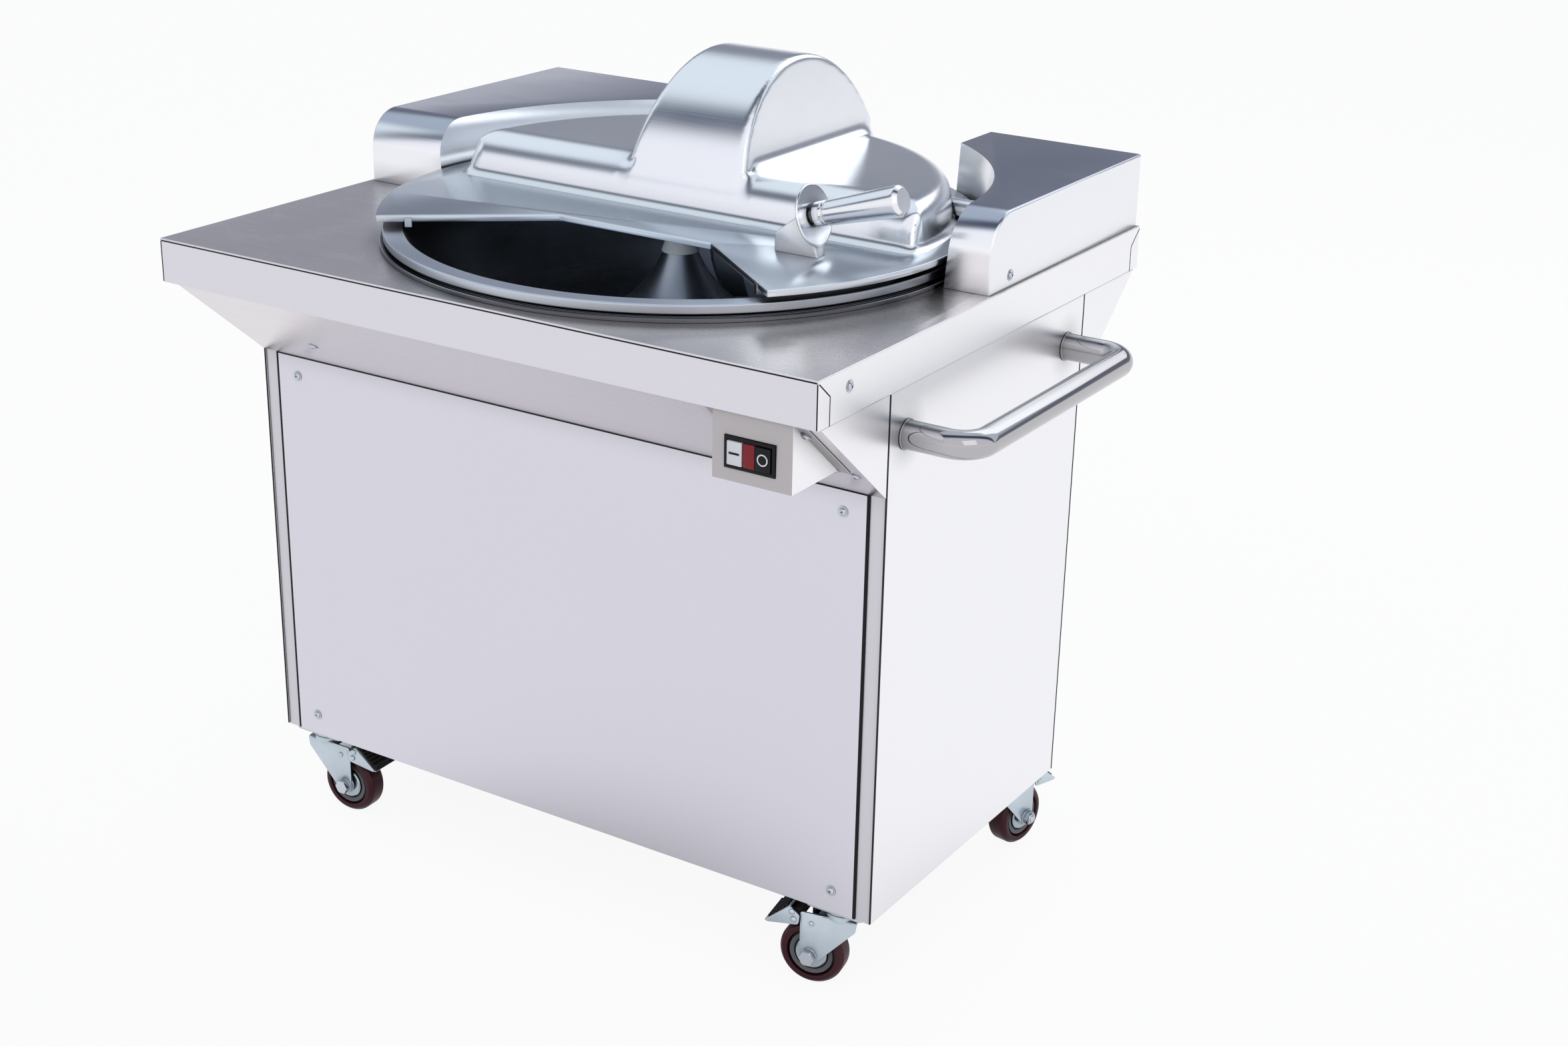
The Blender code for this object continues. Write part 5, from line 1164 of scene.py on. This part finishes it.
def padRibs():
    # a tree that lays a row of bars side by side
    tree = bpy.data.node_groups.new("pad_ribs", "GeometryNodeTree")
    for label, kind in (("Geometry", "Geometry"), ("Count", "Int"), ("Pitch", "Float"),
                        ("Length", "Float"), ("Thickness", "Float"), ("Material", "Material")):
        tree.interface.new_socket(label, in_out="INPUT", socket_type="NodeSocket" + kind)
    tree.interface.new_socket("Geometry", in_out="OUTPUT", socket_type="NodeSocketGeometry")
    board = Board(tree)
    given = {label: board.node("NodeGroupInput", output=label)
             for label in ("Count", "Pitch", "Length", "Thickness", "Material")}
    step = board.node("ShaderNodeCombineXYZ", values={"X": given["Pitch"]})
    line = board.node("GeometryNodeMeshLine", values={"Count": given["Count"], "Offset": step})
    bar = board.node("GeometryNodeMeshCylinder", values={
        "Vertices": 12, "Radius": given["Thickness"], "Depth": given["Length"]})
    lying = board.node("GeometryNodeTransform", values={
        "Geometry": bar, "Rotation": (math.radians(90), 0, 0)})
    row = board.node("GeometryNodeInstanceOnPoints", values={"Points": line, "Instance": lying})
    real = board.node("GeometryNodeRealizeInstances", values={"Geometry": row})
    coated = board.node("GeometryNodeSetMaterial", values={"Geometry": real,
                                                           "Material": given["Material"]})
    board.node("NodeGroupOutput", values={"Geometry": coated}, output=None)
    return tree


def grown(name, tree, points, inputs, directions=None):
    # runs a tree on a cloud of points and keeps the plain mesh
    mesh = bpy.data.meshes.new(name)
    mesh.from_pydata(points, [], [])
    if directions:
        facing = mesh.attributes.new("facing", "FLOAT_VECTOR", "POINT")
        for k, direction in enumerate(directions):
            facing.data[k].vector = direction
    item = bpy.data.objects.new(name, mesh)
    bpy.context.scene.collection.objects.link(item)
    modifier = item.modifiers.new(name, "NODES")
    modifier.node_group = tree
    for socket in tree.interface.items_tree:
        if socket.in_out == "INPUT" and socket.name in inputs:
            modifier[socket.identifier] = inputs[socket.name]
    return evaluated(item)


def castorTop(name, axis):
    c = castor
    plateLow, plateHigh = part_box(name + "_plate")
    half = (plateHigh - plateLow) / 2
    plate = soften(slab(rounded([(-half.x, -half.y), (half.x, -half.y), (half.x, half.y),
                                 (-half.x, half.y)], 0.006, 5), c["plateSheet"]), 0.0005)
    plate.transform(at(axis.x, axis.y, plateHigh.z - c["plateSheet"] / 2))
    race = rounded([(0, 0.001), (c["race"] + 0.001, 0.001), (c["race"], -c["raceHeight"]),
                    (0, -c["raceHeight"])], [0, 0, 0.0012, 0], 4, False)
    return merged(plate, revolve(race, 48, where=at(axis.x, axis.y,
                                                    plateHigh.z - c["plateSheet"])))


def makeCastors():
    c = castor
    ribs = padRibs()
    axleDrop = c["wheel"] - c["height"]
    labels = {"tyre": "tyre", "rimGrey": "ring", "zinc": "hub", "black": "core"}
    for corner, side in c["boltSide"].items():
        name = "castor_" + corner
        axis, wheel = middle(name + "_plate"), middle(name + "_wheel")
        turn = math.atan2(wheel.y - axis.y, wheel.x - axis.x)
        place = at(axis.x, axis.y, c["height"]) @ Matrix.Rotation(turn, 4, "Z")
        keep(name + "_top", toMesh(castorTop(name, axis), "plate"), "cabinet", "zinc",
             name + "_plate")
        fork = makeFork()
        fork.transform(place)
        keep(name + "_pressing", toMesh(fork, "fork", 40.0), name + "_swivel", "zinc",
             name + "_fork")
        bolt = makeBolt(side)
        bolt.transform(place)
        keep(name + "_bolt", toMesh(bolt, "bolt", 30.0), name + "_swivel", "bolt", slot="zinc")
        for finish, shape in wheelPieces().items():
            shape.transform(place @ at(c["trail"], 0, axleDrop))
            replaced = [name + "_wheel"] if finish == "tyre" else []
            keep(name + "_" + labels[finish], toMesh(shape, labels[finish], 32.0),
                 name + "_roller", finish, *replaced, slot=None if replaced else "zinc")
        pedal, padPlace, length, across = makePedal()
        hinge = place @ at(c["trail"] + c["brakeAhead"], 0, axleDrop + c["brakeAbove"])
        pedal.transform(hinge)
        keep(name + "_pedal", toMesh(pedal, "pedal", 35.0), name + "_pedal", "zinc",
             name + "_brake")
        pad = grown(name + "_pad", ribs, [(0, 0, 0)], {
            "Count": c["ribs"], "Pitch": length * c["ribPitch"],
            "Length": across * c["ribLength"], "Thickness": length * c["ribRadius"],
            "Material": finishes["padRubber"].material})
        pad.transform(hinge @ padPlace @ at(length * c["ribStart"], 0, c["ribRise"]))
        shoe = soften(slab(c["shoe"], c["gap"] - c["shoeGap"], hinge @ facingY), c["shoeRound"])
        keep(name + "_shoe", toMesh(shoe, "shoe", 40.0), name + "_pedal", "padRubber",
             slot="rubber")
        pad.shade_smooth()
        pad.set_sharp_from_angle(angle=math.radians(50))
        keep(name + "_tread", pad, name + "_pedal", "padRubber", slot="rubber")


makeCastors()
print("castors ready")


# Pan-head screws with a cross, on everything that is screwed to the cabinet
screws = {
    "head": 0.0046, "crown": 0.0024, "washer": 0.0062, "washerHeight": 0.0007,
    "cross": 0.0042, "crossWidth": 0.0010, "seed": 7,
    "panelSides": (0.031, 0.029), "panelHeights": (0.028, 0.0255),
    "flareSides": (0.126, 0.013), "flareShares": (0.68, 0.69),
    "flangeSides": (0.0125, 0.0180), "flangeShares": (0.135, 0.635), "flangeLift": 0.0016,
    "apron": (0.0593, 0.0205), "podSide": (0.048, 0.0135), "podBack": (0.03, 0.055),
}


def screwTree():
    tree = bpy.data.node_groups.new("pan_screws", "GeometryNodeTree")
    kinds = {"Head Radius": "Float", "Crown Height": "Float", "Washer Radius": "Float",
             "Washer Height": "Float", "Cross Length": "Float", "Cross Width": "Float",
             "Seed": "Int", "Material": "Material"}
    tree.interface.new_socket("Geometry", in_out="INPUT", socket_type="NodeSocketGeometry")
    for label, kind in kinds.items():
        tree.interface.new_socket(label, in_out="INPUT", socket_type="NodeSocket" + kind)
    tree.interface.new_socket("Geometry", in_out="OUTPUT", socket_type="NodeSocketGeometry")
    board = Board(tree)
    points = board.node("NodeGroupInput", output="Geometry")
    given = {label: board.node("NodeGroupInput", output=label) for label in kinds}
    ball = board.node("GeometryNodeMeshUVSphere", values={"Segments": 20, "Rings": 12,
                                                          "Radius": 1.0})
    size = board.node("ShaderNodeCombineXYZ", values={
        "X": given["Head Radius"], "Y": given["Head Radius"], "Z": given["Crown Height"]})
    lift = board.node("ShaderNodeCombineXYZ", values={"Z": given["Washer Height"]})
    head = board.node("GeometryNodeTransform", values={"Geometry": ball, "Translation": lift,
                                                       "Scale": size})
    deep = given["Crown Height"]
    bars = []
    for first, second in (("Cross Length", "Cross Width"), ("Cross Width", "Cross Length")):
        sides = board.node("ShaderNodeCombineXYZ", values={
            "X": given[first], "Y": given[second], "Z": deep * 1.2})
        raised = board.node("ShaderNodeCombineXYZ", values={
            "Z": given["Washer Height"] + deep * 1.05})
        bar = board.node("GeometryNodeMeshCube", values={"Size": sides})
        bars.append(board.node("GeometryNodeTransform", values={
            "Geometry": bar, "Translation": raised}))
    head = board.node("GeometryNodeMeshBoolean", {"operation": "DIFFERENCE", "solver": "EXACT"},
                      {"Mesh 1": head, "Mesh 2": bars, "Self Intersection": True})
    washer = board.node("GeometryNodeMeshCylinder", values={
        "Vertices": 28, "Radius": given["Washer Radius"], "Depth": given["Washer Height"] * 2})
    whole = board.node("GeometryNodeJoinGeometry", values={"Geometry": [head, washer]})
    facing = board.node("GeometryNodeInputNamedAttribute", {"data_type": "FLOAT_VECTOR"},
                        {"Name": "facing"})
    aim = board.node("FunctionNodeAlignRotationToVector", {"axis": "Z"}, {"Vector": facing})
    row = board.node("GeometryNodeInstanceOnPoints", values={
        "Points": points, "Instance": whole, "Rotation": aim})
    spin = board.node("FunctionNodeRandomValue", {"data_type": "FLOAT"},
                      {2: 0.0, 3: math.pi, "Seed": given["Seed"]}, 1)
    turned = board.node("GeometryNodeRotateInstances", values={
        "Instances": row, "Rotation": board.node("ShaderNodeCombineXYZ", values={"Z": spin})})
    real = board.node("GeometryNodeRealizeInstances", values={"Geometry": turned})
    coated = board.node("GeometryNodeSetMaterial", values={"Geometry": real,
                                                           "Material": given["Material"]})
    board.node("NodeGroupOutput", values={"Geometry": coated}, output=None)
    return tree


def screwPlaces():
    s = screws
    spots = []
    for node, way in (("front_panel", -1), ("rear_panel", 1)):
        first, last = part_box(node)
        face = first.y if way < 0 else last.y
        for x in (first.x + s["panelSides"][0], last.x - s["panelSides"][1]):
            for z in (first.z + s["panelHeights"][0], last.z - s["panelHeights"][1]):
                spots.append(((x, face, z), (0, way, 0)))
    lowest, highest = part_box("front_flare")
    slope = Vector((0, low("front_panel").y - lowest.y, lowest.z - highest.z))
    facing = Vector((0, slope.z, -slope.y)).normalized()
    start = Vector((0, lowest.y, highest.z))
    sides = (lowest.x + s["flareSides"][0], highest.x - s["flareSides"][1])
    for x, share in zip(sides, s["flareShares"]):
        place = start + slope * share
        spots.append(((x, place.y, place.z), tuple(facing)))
        spots.append(((x, -place.y, place.z), (0, -facing.y, facing.z)))
    # the switch box's flange lies on the flare
    for inward, share in zip(s["flangeSides"], s["flangeShares"]):
        place = start + slope * share + facing * s["flangeLift"]
        spots.append(((high("switch_box").x - inward, place.y, place.z), tuple(facing)))
    for x, way in ((low("worktop").x, -1), (high("worktop").x, 1)):
        spots.append(((x, low("worktop").y + s["apron"][0], tableTop - s["apron"][1]),
                      (way, 0, 0)))
    for x, way in ((low("left_pod").x, -1), (high("right_pod").x, 1)):
        spots.append(((x, low("right_pod").y + s["podSide"][0], tableTop + s["podSide"][1]),
                      (way, 0, 0)))
    for node in ("left_pod", "right_pod"):
        first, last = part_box(node)
        for x in (first.x + s["podBack"][0], last.x - s["podBack"][0]):
            spots.append(((x, last.y, tableTop + s["podBack"][1]), (0, 1, 0)))
    return spots


def makeScrews():
    spots = screwPlaces()
    mesh = grown("cabinet_screws", screwTree(), [spot[0] for spot in spots], {
        "Head Radius": screws["head"], "Crown Height": screws["crown"],
        "Washer Radius": screws["washer"], "Washer Height": screws["washerHeight"],
        "Cross Length": screws["cross"], "Cross Width": screws["crossWidth"],
        "Seed": screws["seed"], "Material": finishes["bolt"].material},
        [spot[1] for spot in spots])
    mesh.shade_smooth()
    mesh.set_sharp_from_angle(angle=math.radians(35))
    keep("cabinet_screws", mesh, "cabinet", "bolt", slot="steel")


makeScrews()
print("screws ready")


# Camera at the photograph's place, with its slight roll
camera = {
    "place": (1.51796645, -2.21561702, 1.50652725),
    "ahead": (-0.49232553, 0.78736059, -0.37105104), "right": (0.84333219, 0.5370002, 0.0205331),
    "lens": 53.5, "sensor": 36.0,
}


def makeCamera():
    data = bpy.data.cameras.new("camera")
    data.lens = camera["lens"]
    data.sensor_width = camera["sensor"]
    data.sensor_fit = "HORIZONTAL"
    item = bpy.data.objects.new("camera", data)
    ahead = Vector(camera["ahead"]).normalized()
    right = (Vector(camera["right"]) - ahead * Vector(camera["right"]).dot(ahead)).normalized()
    turn = Matrix((right, right.cross(ahead), -ahead)).transposed().to_4x4()
    item.matrix_world = at(*camera["place"]) @ turn
    bpy.context.scene.collection.objects.link(item)
    bpy.context.scene.camera = item


# Studio: pale floor, and a sky with soft bands that run from the back over the top to the front
studio = {
    "floorSize": 60.0, "floorColour": (0.94, 0.94, 0.95), "floorGlow": 0.92,
    "paintedFloorShadow": (0.34, 0.34, 0.36), "floorFar": (0.95, 0.95, 0.97), "shadeEdge": (0.22, 0.62),
    "bands": [
        (0.0, (0.95, 0.96, 1.0)), (1.0, (1.0, 1.0, 1.0)), (0.030, (0.66, 0.68, 0.76)),
        (0.055, (0.24, 0.25, 0.30)), (0.155, (0.20, 0.22, 0.28)), (0.215, (0.74, 0.82, 0.90)),
        (0.440, (0.76, 0.84, 0.92)), (0.500, (0.07, 0.09, 0.14)), (0.565, (0.07, 0.09, 0.14)),
        (0.630, (0.90, 0.91, 0.98)), (0.900, (0.94, 0.94, 0.99)),
    ],
    "bandTurn": (-0.53, 0.85), "horizon": 0.02, "belowHorizon": (0.96, 0.96, 0.97),
    "aim": (0, 0, 0.7),
    "keyPower": 22.0, "keySize": 2.6, "keyPlace": (0.6, 2.9, 3.0),
    "fillPower": 6.0, "fillSize": 2.0, "fillPlace": (2.6, -1.8, 2.6),
}


def softbox(name, place, size, power):
    data = bpy.data.lights.new(name, "AREA")
    data.shape = "SQUARE"
    data.size = size
    data.energy = power
    item = bpy.data.objects.new(name, data)
    item.location = place
    target = Vector(studio["aim"]) - Vector(place)
    item.rotation_euler = target.to_track_quat("-Z", "Y").to_euler()
    bpy.context.scene.collection.objects.link(item)


def makeFloor():
    shape = bmesh.new()
    bmesh.ops.create_grid(shape, x_segments=1, y_segments=1, size=studio["floorSize"] / 2)
    mesh = bpy.data.meshes.new("floor")
    shape.to_mesh(mesh)
    shape.free()
    floor = bpy.data.objects.new("floor", mesh)
    bpy.context.scene.collection.objects.link(floor)
    paint = Finish("floor_paint", studio["floorColour"], 0.9)
    rays = [paint.node("ShaderNodeLightPath", output=kind)
            for kind in ("Is Camera Ray", "Is Glossy Ray", "Is Transmission Ray")]
    # painted shadow: in mirrors the floor is painted darker around the machine, standing in for
    # its shadow there
    away = paint.node("ShaderNodeVectorMath", {"operation": "LENGTH"}, {0: paint.place()}, "Value")
    mirroredPaintedShadow = paint.mix(away.step(*studio["shadeEdge"]), studio["paintedFloorShadow"], studio["floorFar"])
    glow = paint.node("ShaderNodeEmission", values={
        "Color": paint.mix(rays[0], mirroredPaintedShadow, (1.0, 1.0, 1.0)), "Strength": 1.0})
    shown = paint.node("ShaderNodeMixShader", values={
        0: (rays[0] + rays[1] + rays[2]) * studio["floorGlow"],
        1: Wire(paint, paint.shader.outputs[0]), 2: glow})
    paint.feed(paint.tree.nodes["Material Output"].inputs["Surface"], shown)
    mesh.materials.append(paint.material)


def makeSky():
    world = bpy.data.worlds.new("studio")
    bpy.context.scene.world = world
    world.use_nodes = True
    board = Board(world.node_tree)
    split = [board.node("ShaderNodeSeparateXYZ", values={
        0: board.node("ShaderNodeTexCoord", output="Generated")}, output=label) for label in "XYZ"]
    depth = split[0] * studio["bandTurn"][0] + split[1] * studio["bandTurn"][1]
    angle = board.node("ShaderNodeMath", {"operation": "ARCTAN2"}, {0: split[2], 1: depth})
    share = board.node("ShaderNodeMath", {"operation": "MAXIMUM"}, {0: angle / math.pi, 1: 0.0})
    bands = board.node("ShaderNodeValToRGB", {"stops": studio["bands"]}, {"Fac": share})
    below = (0 - split[2]).step(-studio["horizon"], studio["horizon"])
    board.feed(board.tree.nodes["Background"].inputs["Color"],
               board.mix(below, bands, studio["belowHorizon"]))


makeCamera()
makeFloor()
makeSky()
softbox("key", studio["keyPlace"], studio["keySize"], studio["keyPower"])
softbox("fill", studio["fillPlace"], studio["fillSize"], studio["fillPower"])
bpy.context.scene.view_settings.view_transform = "Standard"
print("studio ready")


# CAD pieces that keep their shape get their finish here
cadFinishes = {
    "frameSteel": ("frame",),
    "castCover": ("knife_bearing", "hinge_bracket"),
    "steel": ("knife_shaft", "knife_spacer_1", "knife_spacer_2", "knife_nut", "hinge_pin",
              "motor_shaft", "worm_shaft", "bowl_spindle"),
    "bladeSteel": ("knife_1", "knife_2", "knife_3"),
    "bronze": ("worm_wheel",),
    "paintedIron": ("gearbox_housing", "motor", "motor_pulley", "knife_pulley", "worm_pulley"),
    "beltRubber": ("knife_belt", "bowl_belt"),
}
for finish, names in cadFinishes.items():
    for name in names:
        nodes[name].data.materials.clear()
        nodes[name].data.materials.append(finishes[finish].material)
